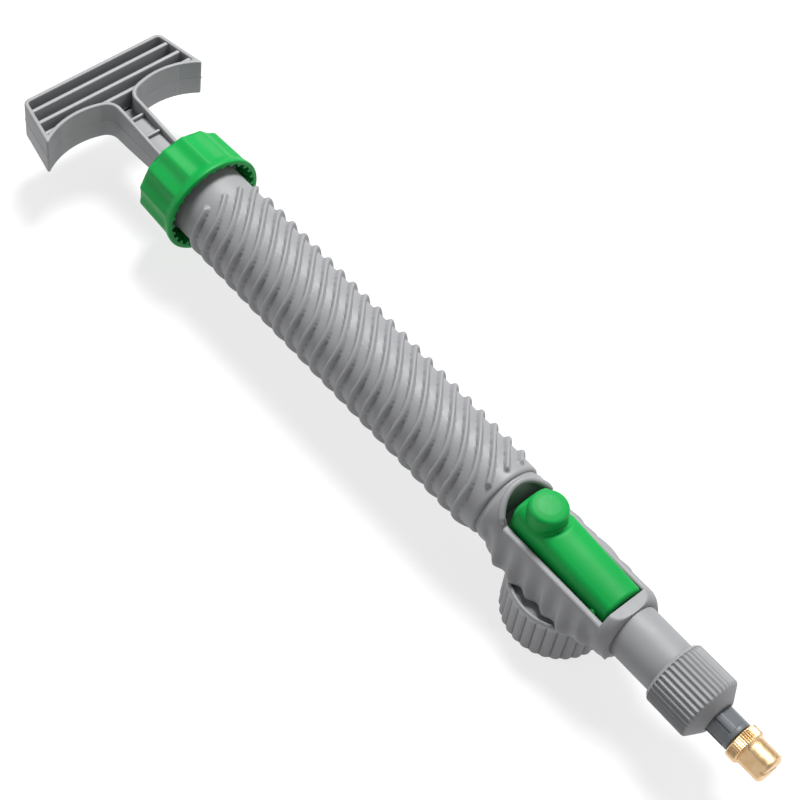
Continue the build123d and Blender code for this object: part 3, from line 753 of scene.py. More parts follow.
@dataclass(frozen=True)
class LeverHousing:
    """Housing round the lever: fluted sides, thin rims, arched hood, front block, collar and neck."""

    axis_z: float
    front: float
    recess_front: float
    rear: float = -30.0
    recess_rear: float = -24.3
    recess_corner: float = 3.5
    recess_half: float = 8.0
    floor: float = -1.0
    rim: float = 6.0
    rim_edge: float = 0.55
    rim_width: float = 1.0
    hood_foot: float = -18.6
    front_lean: float = 1.9
    skirt_edge: float = 0.9
    block_top: float = 9.2
    skirt_rise: float = -5.1
    ring_reach: float = 17.9
    flute_pitch: float = 6.7
    flute_first: float = -10.7
    flute_lean: float = 0.45
    flute_depth: float = 1.35
    tube_r: float = 8.5
    turn_in: float = 22.0
    mouth_gap: float = 0.35
    mouth_depth: float = 1.5
    hood_top: float = 12.95
    lip_r: float = 1.0
    lip_angle: float = math.radians(54)
    lip_sweep: float = 5.6
    neck_r: float = 10.8
    neck_wall: float = 1.1
    neck_span: tuple[float, float] = (-8.9, -4.0)
    boss_r: float = 4.3
    boss_span: tuple[float, float] = (-3.0, 4.6)

    def tube_radius(self, x: np.ndarray) -> np.ndarray:
        """Radius of the housing's round part: a table of stations, and in front of it a rounded
        end, mouth + (plain - mouth) * (1 - u^2.4)^0.55.

        Args:
            x: stations.

        Returns:
            Radius at each station.
        """
        plain = np.interp(x, *zip(*ROUND_TABLE))
        u = np.clip((x - self.turn_in) / (self.front - self.turn_in), 0, 1)
        mouth = self.tube_r + self.mouth_gap
        return mouth + (plain - mouth) * (1 - u ** 2.4) ** 0.55

    def skirt_half(self, x: np.ndarray) -> np.ndarray:
        """Half width of the skirt's lower edge, from a table of stations."""
        return np.interp(x, *zip(*SKIRT_TABLE))

    def recess_side(self, x: np.ndarray) -> np.ndarray:
        """Half width of the recess: full, and rounded in plan at its rear corners."""
        into = np.clip(self.recess_rear + self.recess_corner - x, 0, self.recess_corner)
        return self.recess_half - self.recess_corner + np.sqrt(self.recess_corner ** 2 - into ** 2)

    def rim_height(self, x: np.ndarray) -> np.ndarray:
        """Rise where the outer side starts: on the round part beside the hood, then low and level.

        Args:
            x: stations.

        Returns:
            Rise at each station.
        """
        reach = self.recess_side(x) + self.rim_width
        high = np.sqrt(np.maximum(self.tube_radius(x) ** 2 - reach ** 2, 0))
        step = smooth(x, self.hood_foot - 1.4, self.hood_foot)
        return high + (self.rim - self.rim_edge - high) * step

    def side(self, x: np.ndarray, rise: np.ndarray) -> np.ndarray:
        """Half width of the housing at a height: the round part, a skirt that swells out below, and
        broad leaning flutes cut as cosine hollows.

        Args:
            x: stations.
            rise: heights over the barrel's axis.

        Returns:
            Distance from the middle plane.
        """
        radius = self.tube_radius(x)
        round_part = np.sqrt(np.maximum(radius ** 2 - rise ** 2, 0))
        at_edge = np.sqrt(np.maximum(radius ** 2 - self.skirt_rise ** 2, 0))
        swell = (self.skirt_half(x) - at_edge) * smooth(-rise, -5.5, -self.skirt_rise + 0.8)
        phase = (x - self.flute_first + self.flute_lean * rise) / self.flute_pitch
        hollow = np.abs(np.sin(math.pi * phase)) ** 1.6
        reach = smooth(-rise, -6.0, 1.5) * smooth(x, -25, -22) * (1 - smooth(x, 19, 22.5))
        return round_part + np.maximum(swell, 0) - self.flute_depth * hollow * reach

    def half_sections(self, x: np.ndarray, open_top: np.ndarray, over_ring: np.ndarray) -> np.ndarray:
        """Half outlines across the barrel, from the middle of the top or floor, over the rim, down
        the side and under to the middle.

        Args:
            x: stations.
            open_top: whether each station is cut by the recess.
            over_ring: whether each station ends flat over the bottle ring.

        Returns:
            Stations x points x (half width, rise).
        """
        x, open_top, over_ring = x[:, None], open_top[:, None], over_ring[:, None]
        radius, inner, rim_low = self.tube_radius(x), self.recess_side(x), self.rim_height(x)
        outer_top = self.side(x, rim_low)
        t = np.linspace(0, 1, 6)[None, :]
        bottom = np.stack([inner * t, np.full_like(inner * t, self.floor)], -1)
        wall = np.stack([inner + 0 * t, self.floor + (rim_low - self.floor) * t], -1)[:, 1:]
        turn = np.linspace(0, math.pi, 11)[None, 1:]
        mid, half = (outer_top + inner) / 2, (outer_top - inner) / 2
        rim = np.stack([mid - half * np.cos(turn), rim_low + self.rim_edge * np.sin(turn)], -1)
        cut = np.concatenate([bottom, wall, rim], 1)
        share = np.linspace(0, 1, cut.shape[1])[None, :]
        arc = share * np.arccos(np.clip(rim_low / radius, -1, 1))
        flat = np.where(x > self.recess_front - 1, self.block_top, np.inf)
        solid = np.stack([radius * np.sin(arc), np.minimum(radius * np.cos(arc), flat)], -1)
        head = np.where(open_top[..., None], cut, solid)
        edge = self.skirt_edge
        low = self.skirt_rise + edge
        drop = np.linspace(0, 1, 22)[None, 1:]
        curl = edge * np.sin(np.linspace(0, math.pi / 2, 6))[None, 1:]
        rise = np.concatenate([rim_low + (low - rim_low) * drop, low - curl + 0 * rim_low], 1)
        near_edge = np.clip((low - rise) / edge, 0, 1)
        tuck = edge * (1 - np.sqrt(1 - near_edge ** 2)) * over_ring
        flank = np.stack([self.side(x, rise) - tuck, rise], -1)
        t = np.linspace(0, 1, 14)[None, 1:]
        under = flank[:, -1:, 0] * np.cos(t * math.pi / 2)
        soft = radius - (1 - smooth(np.abs(x), self.ring_reach, self.ring_reach + 1.6))
        belly = np.minimum(-np.sqrt(np.maximum(soft ** 2 - under ** 2, 0)), self.skirt_rise)
        base = np.stack([under, np.where(over_ring, self.skirt_rise, belly)], -1)
        return np.concatenate([head, flank, base], 1)

    def shell(self) -> Shell:
        """Housing body: half outlines mirrored into closed sections and carried along the barrel.
        Two sections at one station make each end wall of the recess and each wall round the ring.
        The front leans back towards the top.

        Returns:
            The shell.
        """
        reach, first, last = self.ring_reach, self.recess_rear, self.recess_front
        corner = first + self.recess_corner * (1 - np.cos(np.linspace(0, math.pi / 2, 12)))
        quarter = np.linspace(0, math.pi / 2, 18)
        runs = [(np.linspace(self.rear, first, 24), False, False), (corner, True, False),
                (np.linspace(corner[-1], -reach, 16)[1:], True, False),
                (np.linspace(-reach, reach, 130), True, True),
                (np.linspace(reach, last, 12), True, False),
                (np.linspace(last, self.turn_in, 8), False, False),
                (self.turn_in + (self.front - self.turn_in) * np.sin(quarter)[1:], False, False)]
        x = np.concatenate([run[0] for run in runs])
        open_top = np.concatenate([np.full(len(run[0]), run[1]) for run in runs])
        over_ring = np.concatenate([np.full(len(run[0]), run[2]) for run in runs])
        half = self.half_sections(x, open_top, over_ring)
        loop = np.concatenate([half, (half * (-1, 1))[:, -2:0:-1]], 1)
        mouth = loop[-1] * (self.tube_r + 0.1) / np.linalg.norm(loop[-1], axis=1)[:, None]
        loop = np.concatenate([loop, mouth[None], mouth[None]])
        x = np.concatenate([x, [self.front, self.front - self.mouth_depth]])
        lean = self.front_lean * smooth(x, 19.8, 24)[:, None] * (loop[..., 1] + 9) / 18
        grid = np.stack([x[:, None] - lean, -loop[..., 0], self.axis_z + loop[..., 1]], -1)
        return surface(grid, pole_first=True, pole_last=True)

    def lip(self) -> Shell:
        """Rolled lip round the recess's rear: a round bead carried along the edge of the opening on
        the barrel's surface, x = rear + curve * angle^2, thinner at its feet.

        Returns:
            The shell.
        """
        angle = np.linspace(-1, 1, 121) * self.lip_angle
        curve = self.lip_sweep / self.lip_angle ** 2
        x = self.recess_rear + curve * angle ** 2 - self.lip_r * 0.85
        seat = self.hood_top - self.lip_r
        sin, cos, zero = np.sin(angle), np.cos(angle), np.zeros_like(angle)
        path = np.stack([x, -seat * sin, self.axis_z + seat * cos], -1)
        up = np.stack([zero, -sin, cos], -1)
        along = np.gradient(path, axis=0)
        along /= np.linalg.norm(along, axis=1)[:, None]
        across = np.cross(along, up)
        turn = np.arange(20) * TURN / 20
        bead = np.stack([np.cos(turn), np.sin(turn)], -1)[None] * self.lip_r
        foot = 0.55 + 0.45 * smooth(1 - np.abs(angle) / self.lip_angle, 0, 0.12)
        return swept(path, across, up, bead * foot[:, None, None])

    def piece(self) -> Piece:
        """Housing with its lip, its hollow neck and the plunger's boss, as one piece.

        Returns:
            The piece.
        """
        low, high = (self.axis_z + rise for rise in self.neck_span)
        inner = self.neck_r - self.neck_wall
        neck = lathe([(low, inner), (low, self.neck_r), (high, self.neck_r), (high, inner)], 0.3, 96,
                     Axis.NECK)
        low, high = (self.axis_z + rise for rise in self.boss_span)
        boss = lathe([(low, 0), (low, self.boss_r), (high, self.boss_r), (high, 0)], 0.5, 48,
                     Axis.NECK, closed=False)
        shells = (self.shell(), self.lip(), neck, boss)
        return Piece("lever_housing", shells, Body.BARREL, Slot.GREY, ("barrel_housing",), 36)


@dataclass(frozen=True)
class Cap:
    """Screwed barrel cap: broad soft lobes that die out before a thin round rim lip."""

    axis_z: float
    rear: float
    rim: float
    rear_r: float = 16.4
    rim_r: float = 17.33
    hole_r: float = 7.2
    end_wall: float = 2.6
    rim_wall: float = 1.5
    thread_r: float = 14.3
    thread_length: float = 8.3
    lobes: int = 14
    lobe_depth: float = 0.85
    teeth: int = 28
    tooth_depth: float = 0.9
    count: int = 336

    def shell(self) -> Shell:
        """Turned cap. The outside is drawn in by depth * |sin(lobes * angle / 2)|^2 behind the rim,
        and the mouth of the skirt has small teeth inside.

        Returns:
            The shell.
        """
        inner = self.rear + self.end_wall
        thread_front = inner + self.thread_length
        rim, r, mouth_r = self.rim, self.rim_r, self.rim_r - self.rim_wall
        corners = [(self.rear, self.hole_r), (self.rear, self.rear_r), (rim - 2.6, r - 0.35),
                   (rim - 1.0, r), (rim, r), (rim, mouth_r), (rim - 1.2, mouth_r - 0.15),
                   (thread_front, self.thread_r), (inner, self.thread_r), (inner, self.hole_r)]
        path = rounded(corners, [0.4, 1.3, 0.8, 0.4, 0.45, 0.3, 0.3, 0.3, 0.3, 0.3], 6)
        path = divided(path, 0.8, closed=True)
        angle, x, radius = spun(path, self.count)
        outside = smooth(radius, 15.2, 15.9) * (1 - smooth(x, rim - 3.6, rim - 2.0))
        lobe = (0.5 - 0.5 * np.cos(self.lobes * angle))[None, :] ** 0.7
        in_mouth = (x > thread_front + 1) & (radius < mouth_r + 0.2) & (x < rim - 0.25)
        tooth = smooth(np.cos(self.teeth * angle), 0.2, 0.7)[None, :]
        radius = radius - self.lobe_depth * lobe * outside - self.tooth_depth * tooth * in_mouth
        return turned(path[:, 0], radius, Axis.BARREL, self.axis_z)

    def piece(self) -> Piece:
        """The cap as a piece."""
        return Piece("barrel_cap_lobed", (self.shell(),), Body.BARREL, Slot.GREEN,
                     ("barrel_cap",), 48)


@dataclass(frozen=True)
class PumpHandle:
    """T-grip tray, ribbed rod and piston, one moulding."""

    axis_z: float
    grip_rear: float
    tip: tuple[float, float]
    rear_half: float = 26.6
    finger_centre: tuple[float, float] = (-186.9, 15.5)
    finger_r: float = 25.4
    root_centre: tuple[float, float] = (-207.05, 8.3)
    root_r: float = 4.0
    rod_half: float = 4.3
    rod_half_height: float = 5.4
    grip_half_height: float = 7.2
    wall: float = 1.5
    web: float = 1.6
    web_rear: float = -210.5
    overlap: float = 0.5
    throat_x: float = -209.5
    blend: tuple[float, float] = (-209.0, -182.5)
    tip_round: float = 2.4
    rear_round: float = 2.6
    parting: float = 0.12
    parting_half: float = 0.25
    rib_half: float = 0.7
    rib_drop: float = 0.45
    rung_half: float = 0.5
    rung_drop: float = 0.35
    groove_half: float = 1.35
    groove_depth: float = 2.36
    rod_face: float = 3.8
    rib_stations: Triple = (-221.8, -216.7, -211.9)
    rung_first: float = -202.5
    rung_pitch: float = 8.4
    rungs: int = 19
    piston_rear: float = -40.0
    piston_front: float = -31.0
    piston_r: float = 10.5

    def half_path(self, inset: float) -> np.ndarray:
        """Half of the grip's outline in plan, from the piston along the rod, round the finger arc
        and the tip, to the middle of the rear. An inset moves every line and arc inwards.

        Args:
            inset: distance inside the outer face.

        Returns:
            (x, y) points on the +Y side; their number doesn't depend on the inset.
        """
        centre, root = np.array(self.finger_centre), np.array(self.root_centre)
        toward = root - centre
        join = math.atan2(toward[1], toward[0]) % TURN
        rod_x = np.linspace(self.piston_rear + self.overlap, root[0], 60)
        rod = np.stack([rod_x, np.full_like(rod_x, self.rod_half - inset)], -1)
        bend = np.linspace(1.5 * math.pi, join, 12)[1:]
        bend = root + (self.root_r + inset) * np.stack([np.cos(bend), np.sin(bend)], -1)
        tip, rear = np.array(self.tip), np.array([self.grip_rear, self.rear_half])
        along = (rear - tip) / np.linalg.norm(rear - tip)
        inward = np.array([-along[1], along[0]])
        foot, radius = tip + inward * inset - centre, self.finger_r + inset
        drop = foot @ along
        back = math.sqrt(drop ** 2 - foot @ foot + radius ** 2) - drop
        corner = centre + foot + along * back
        reach = corner - centre
        meet = math.atan2(reach[1], reach[0])
        arc = np.linspace(join, meet + 2.2 / radius, 26)[1:]
        arc = centre + radius * np.stack([np.cos(arc), np.sin(arc)], -1)
        rear_in = np.array([self.grip_rear + inset, 0.0])
        slope = (rear_in[0] - corner[0]) / along[0]
        rear_corner = corner + along * slope
        fillets = [0, max(self.tip_round - 0.8 * inset, 0.5), max(self.rear_round - inset, 0.6), 0]
        turns = rounded([arc[-1], corner, rear_corner, rear_in], fillets, 6, closed=False)[1:]
        return np.concatenate([rod, bend, arc, turns])

    def half_height(self, x: np.ndarray) -> np.ndarray:
        """Half height of the wall: full at the grip, falling along the first of the rod."""
        return self.rod_half_height + (self.grip_half_height - self.rod_half_height) * (
            1 - smooth(x, *self.blend))

    def walls(self) -> Shell:
        """Wall round the tray and along both sides of the rod: a rounded strip between the outer and
        the inner outline, with a faint parting ridge at mid height.

        Returns:
            The shell.
        """
        outer, inner = self.half_path(0), self.half_path(self.wall)
        outer = np.concatenate([outer, (outer * (1, -1))[-2::-1]])
        inner = np.concatenate([inner, (inner * (1, -1))[-2::-1]])
        face, half, top, wall = self.parting, self.parting_half, self.grip_half_height, self.wall
        unit = rounded([(face, -top), (face, -half), (0, 0), (face, half), (face, top), (wall, top),
                        (wall, -top)], [0.5, 0.05, 0.05, 0.05, 0.5, 0.45, 0.45], 4)
        share, level = unit[:, 0] / self.wall, unit[:, 1]
        height = self.half_height(outer[:, 0])[:, None]
        drop = (self.grip_half_height - height) * smooth(np.abs(level), 1.0, 5.0)[None, :]
        rise = level[None, :] - np.sign(level)[None, :] * drop
        flat = outer[:, None] + (inner - outer)[:, None] * share[None, :, None]
        grid = np.concatenate([flat, self.axis_z + rise[..., None]], -1)
        return surface(grid, pole_first=True, pole_last=True)

    def front_line(self, y: np.ndarray) -> np.ndarray:
        """Station of the tray's front wall: the finger arcs, held back at the rod's throat.

        Args:
            y: distances from the middle.

        Returns:
            Station at each distance.
        """
        offset = np.clip(np.abs(y) - self.finger_centre[1], -self.finger_r, self.finger_r)
        arc = self.finger_centre[0] - np.sqrt(self.finger_r ** 2 - offset ** 2)
        return np.where(np.abs(y) < self.rod_half + 2.2, np.maximum(arc, self.throat_x), arc)

    def floor(self) -> Shell:
        """Web at mid height of the tray: straight lines from the rear wall to the finger arcs.

        Returns:
            The shell.
        """
        t = np.linspace(-1, 1, 81)
        front_y, rear_y = t * (self.tip[1] - 1.6), t * (self.rear_half - 0.6)
        front_x = np.minimum(self.front_line(front_y) - 0.6, self.tip[0] - 2.4)
        share = np.array([0, 0.5, 1.0, 1.0, 0.5, 0.0])
        level = np.array([1, 1, 1, -1, -1, -1]) * self.web / 2
        rear_x = self.grip_rear + 0.6
        x = rear_x + (front_x - rear_x)[:, None] * share
        y = rear_y[:, None] + (front_y - rear_y)[:, None] * share
        grid = np.stack([x, y, np.broadcast_to(self.axis_z + level, x.shape)], -1)
        return surface(grid, pole_first=True, pole_last=True)

    def tray_rib(self, station: float) -> Shell:
        """Rib across the tray: a round-topped strip that keeps behind the finger arcs.

        Args:
            station: x of its middle.

        Returns:
            The shell.
        """
        share = (station - self.grip_rear) / (self.tip[0] - self.grip_rear)
        half = self.rear_half + (self.tip[1] - self.rear_half) * share - 0.8
        y = np.linspace(-half, half, 90)
        x = np.minimum(station, self.front_line(y) - 0.75)
        top, thick = self.grip_half_height - self.rib_drop, self.rib_half
        section = rounded([(-thick, -top), (thick, -top), (thick, top), (-thick, top)], 0.45, 3)
        path = np.stack([x, y, np.full_like(y, self.axis_z)], -1)
        across, up = np.tile((1.0, 0, 0), (len(y), 1)), np.tile((0, 0, 1.0), (len(y), 1))
        return swept(path, across, up, section)

    def rod_parts(self) -> list[Shell]:
        """Web and cross rungs of the rod.

        Returns:
            The shells.
        """
        half, z, face = self.rod_half - self.overlap, self.axis_z, self.rod_face
        end, web, thick = self.piston_rear + self.overlap, self.web / 2, self.rung_half
        parts = [soft_block((self.web_rear, -half, z - web), (end, half, z + web), 0.2),
                 soft_block((self.rung_first, -half, z - face), (end, half, z + face), 0.2)]
        top = self.rod_half_height - self.rung_drop
        for i in range(self.rungs):
            x = self.rung_first + i * self.rung_pitch
            parts.append(soft_block((x - thick, -half, z - top), (x + thick, half, z + top), 0.3))
        return parts

    def piston(self) -> Shell:
        """Grooved piston head at the rod's front.

        Returns:
            The shell.
        """
        mid, r = (self.piston_rear + self.piston_front) / 2, self.piston_r
        low, high, floor = mid - self.groove_half, mid + self.groove_half, r - self.groove_depth
        corners = [(self.piston_rear, 0), (self.piston_rear, r), (low, r), (low, floor), (high, floor),
                   (high, r), (self.piston_front, r), (self.piston_front, 0)]
        return lathe(corners, 0.35, 96, Axis.BARREL, self.axis_z, closed=False)

    def piece(self) -> Piece:
        """The whole handle as a piece."""
        shells = [self.walls(), self.floor(), *(self.tray_rib(x) for x in self.rib_stations),
                  *self.rod_parts(), self.piston()]
        return Piece("pump_handle_tray", tuple(shells), Body.HANDLE, Slot.GREY, ("pump_handle",), 38)


@dataclass(frozen=True)
class ThumbLever:
    """Green lever: arched shell with rounded ends and a raised thumb button."""

    axis_z: float
    rear: float
    front: float
    half: float = 6.8
    rear_shoulder: float = 12.0
    front_shoulder: float = 8.3
    crown: float = 2.4
    rear_skirt: float = 3.2
    front_skirt: float = 2.4
    wall: float = 1.4
    end_round: float = 1.5
    front_round: float = 1.0
    edge: float = 1.7
    flare: float = 0.6
    button_x: float = -12.6
    button_r: float = 5.9
    button_top: float = 17.2
    groove: float = 0.75
    pivot: tuple[float, float] = (15.5, 4.5)
    trunnion_r: float = 1.2
    trunnion_half: float = 7.9
    dip_offset: float = 0.7
    dip_width: float = 0.85
    push_half: tuple[float, float] = (0.8, 4.6)
    push_span: tuple[float, float] = (8.0, 10.2)
    button_foot: float = 9.0

    def section(self, x: np.ndarray, inset: np.ndarray) -> np.ndarray:
        """Upper outline across the lever: straight sides, rounded shoulders and an arched top, with
        a ring-shaped dip round the button and a drawn-in outline at both ends.

        Args:
            x: stations.
            inset: how far each outline is drawn in.

        Returns:
            Stations x points x (y, rise).
        """
        share = (x - self.rear) / (self.front - self.rear)
        shoulder = self.rear_shoulder + (self.front_shoulder - self.rear_shoulder) * share
        skirt = self.rear_skirt + (self.front_skirt - self.rear_skirt) * share
        half = self.half - inset
        side = np.linspace(0, 1, 6)[None, :-1]
        flare = self.flare * (1 - smooth(side, 0, 1))
        t = np.linspace(0, math.pi / 2, 8)
        edge = np.minimum(self.edge, half - 0.2)
        y_side = np.repeat(-half[:, None], 5, 1) - flare
        h_side = skirt[:, None] + (shoulder - inset - edge - skirt)[:, None] * side
        y_turn = -half[:, None] + edge[:, None] * (1 - np.cos(t))[None, :]
        h_turn = (shoulder - inset - edge)[:, None] + edge[:, None] * np.sin(t)[None, :]
        y_top = (-half + edge)[:, None] * np.linspace(1, -1, 41)[None, 1:-1]
        h_top = np.repeat((shoulder - inset)[:, None], 39, 1)
        y = np.concatenate([y_side, y_turn, y_top, -y_turn[:, ::-1], -y_side[:, ::-1]], 1)
        h = np.concatenate([h_side, h_turn, h_top, h_turn[:, ::-1], h_side[:, ::-1]], 1)
        bend = 1 - (y / self.half) ** 2
        lift = (h - skirt[:, None]) / (shoulder - skirt)[:, None]
        h = h + self.crown * bend * np.clip(lift, 0, 1)
        return np.stack([y, h], -1)

    def shell(self) -> Shell:
        """Hollow lever. Each closed section is the upper outline and, under it, the same outline
        moved in by the wall's thickness. End stations carry a flat underside instead.

        Returns:
            The shell.
        """
        turn = np.linspace(0, math.pi / 2, 9)
        start = self.rear + self.end_round * (1 - np.cos(turn))
        draw = self.end_round * (1 - np.sin(turn))
        nose = self.front - self.front_round + self.front_round * np.sin(turn)
        walls = [self.rear + self.wall + 0.2, self.front - self.wall]
        x = np.sort(np.concatenate([start, np.linspace(start[-1], nose[0], 150)[1:-1], nose,
                                    walls, walls]))
        inset = np.interp(x, np.concatenate([start, nose]),
                          np.concatenate([draw, self.front_round * (1 - np.cos(turn))]))
        outer = self.section(x, inset)
        radial = np.hypot(x[:, None] - self.button_x, outer[..., 0])
        front_side = smooth(x, self.button_x - 3.5, self.button_x + 1.0)[:, None]
        ring = np.exp(-((radial - self.button_r - self.dip_offset) / self.dip_width) ** 2)
        on_top = smooth(outer[..., 1], 7.0, 9.0)
        outer[..., 1] -= self.groove * ring * on_top * (0.35 + 0.65 * front_side)
        hollow = (x > walls[0] - TINY) & (x < walls[1] + TINY)
        first, last = np.searchsorted(x, walls[0]), np.searchsorted(x, walls[1] + TINY) - 1
        hollow[first] = hollow[last] = False
        inner = self.section(x, inset + self.wall)
        low = outer[:, :1, 1:]
        flat = np.concatenate([inner[..., :1], np.repeat(low, inner.shape[1], 1)], -1)
        under = np.where(hollow[:, None, None], inner, flat)
        under[:, [0, -1], 1] = low[:, 0]
        loop = np.concatenate([outer, under[:, ::-1]], 1)
        grid = np.concatenate([np.broadcast_to(x[:, None, None], loop.shape[:2] + (1,)), loop], -1)
        grid[..., 2] += self.axis_z
        return surface(grid, pole_first=True, pole_last=True)

    def button(self) -> Shell:
        """Domed thumb button, turned about its own upright axis.

        Returns:
            The shell.
        """
        top, foot, r = self.button_top, self.button_foot, self.button_r
        corners = [(foot, 0), (foot, r + 0.3), (top - 0.85, r - 0.05), (top - 0.3, r - 2.6), (top, 0)]
        path = rounded(corners, [0, 0.2, 1.5, 5.0, 0], 9, closed=False)
        shell = turned(self.axis_z + path[:, 0], spun(path, 96)[2], Axis.NECK, closed=False)
        return Shell(shell.points + (self.button_x, 0, 0), shell.quads, shell.tris)

    def inside(self) -> list[Shell]:
        """Pushing rib over the plunger and the two trunnions.

        Returns:
            The shells.
        """
        z, (x, y), (low, high) = self.axis_z, self.push_half, self.push_span
        rib = soft_block((-x, -y, z + low), (x, y, z + high), 0.2)
        root, end, r = self.half - 1.0, self.trunnion_half, self.trunnion_r
        path = rounded([(root, 0), (root, r), (end, r), (end, 0)], 0.2, 3, closed=False)
        pin = turned(path[:, 0], spun(path, 32)[2], Axis.NECK, closed=False)
        offset = (self.pivot[0], 0, z + self.pivot[1])
        left = Shell(pin.points[:, [0, 2, 1]] + offset, pin.quads, pin.tris).outward()
        right = Shell(pin.points[:, [0, 2, 1]] * (1, -1, 1) + offset, pin.quads, pin.tris).outward()
        return [rib, left, right]

    def piece(self) -> Piece:
        """The lever as a piece."""
        shells = (self.shell(), self.button(), *self.inside())
        return Piece("thumb_lever", shells, Body.LEVER, Slot.GREEN, ("lever",), 40)


@dataclass(frozen=True)
class BottleRing:
    """Ring that turns on the neck: coarse ribs under a plain top band, with a thread inside."""

    height: float
    radius: float
    bore_r: float = 13.85
    hole_r: float = 10.9
    lip: float = 2.6
    ribs: int = 32
    rib_depth: float = 0.75
    band: float = 1.5
    thread_pitch: float = 2.7
    thread_turns: float = 2.4
    thread_start: float = 3.0
    thread_height: float = 1.0
    count: int = 384

    def shell(self) -> Shell:
        """Turned ring. Below the band the radius falls by depth * (1 - |cos(ribs * angle / 2)|^0.6),
        which leaves wide round ribs with narrow grooves.

        Returns:
            The shell.
        """
        r, h = self.radius, self.height
        corners = [(0, self.bore_r), (0, r - 0.3), (h - self.band, r), (h, r), (h, r - 1.0),
                   (h - 0.9, r - 1.5), (h - 0.9, self.hole_r), (h - self.lip, self.hole_r),
                   (h - self.lip, self.bore_r)]
        fillets = [0.5, 0.7, 0.1, 0.55, 0.35, 0.4, 0.3, 0.3, 0.5]
        path = divided(rounded(corners, fillets, 5), 1.1, closed=True)
        angle, z, radius = spun(path, self.count)
        groove = 1 - np.abs(np.cos(self.ribs * angle / 2)) ** 0.55
        under_band = 1 - smooth(z, h - self.band - 0.5, h - self.band)
        on_side = smooth(radius, r - 1.0, r - 0.4) * under_band
        radius = radius - self.rib_depth * groove[None, :] * on_side
        return turned(path[:, 0], radius, Axis.NECK)

    def thread(self) -> Shell:
        """Inside thread: a rounded ridge carried up a helix, and sunk at both ends.

        Returns:
            The shell.
        """
        turn = np.linspace(0, self.thread_turns * TURN, 260)
        share = turn / turn[-1]
        sink = self.thread_height * (1 - smooth(share, 0, 0.08) * (1 - smooth(share, 0.92, 1)))
        crest = -self.thread_height
        ridge = rounded([(0.3, -0.95), (0.3, 0.95), (crest, 0.35), (crest, -0.35)], 0.25, 3)
        radial = np.stack([np.cos(turn), np.sin(turn), np.zeros_like(turn)], -1)
        climb = self.thread_start + self.thread_pitch * turn / TURN
        path = radial * self.bore_r + climb[:, None] * (0, 0, 1)
        section = np.repeat(ridge[None], len(turn), 0)
        section[..., 0] += np.where(section[..., 0] < 0, sink[:, None], 0)
        return swept(path, radial, np.tile((0, 0, 1.0), (len(turn), 1)), section)

    def piece(self) -> Piece:
        """The ring as a piece."""
        return Piece("bottle_ring_ribbed", (self.shell(), self.thread()), Body.RING, Slot.GREY,
                     ("bottle_ring",), 36)


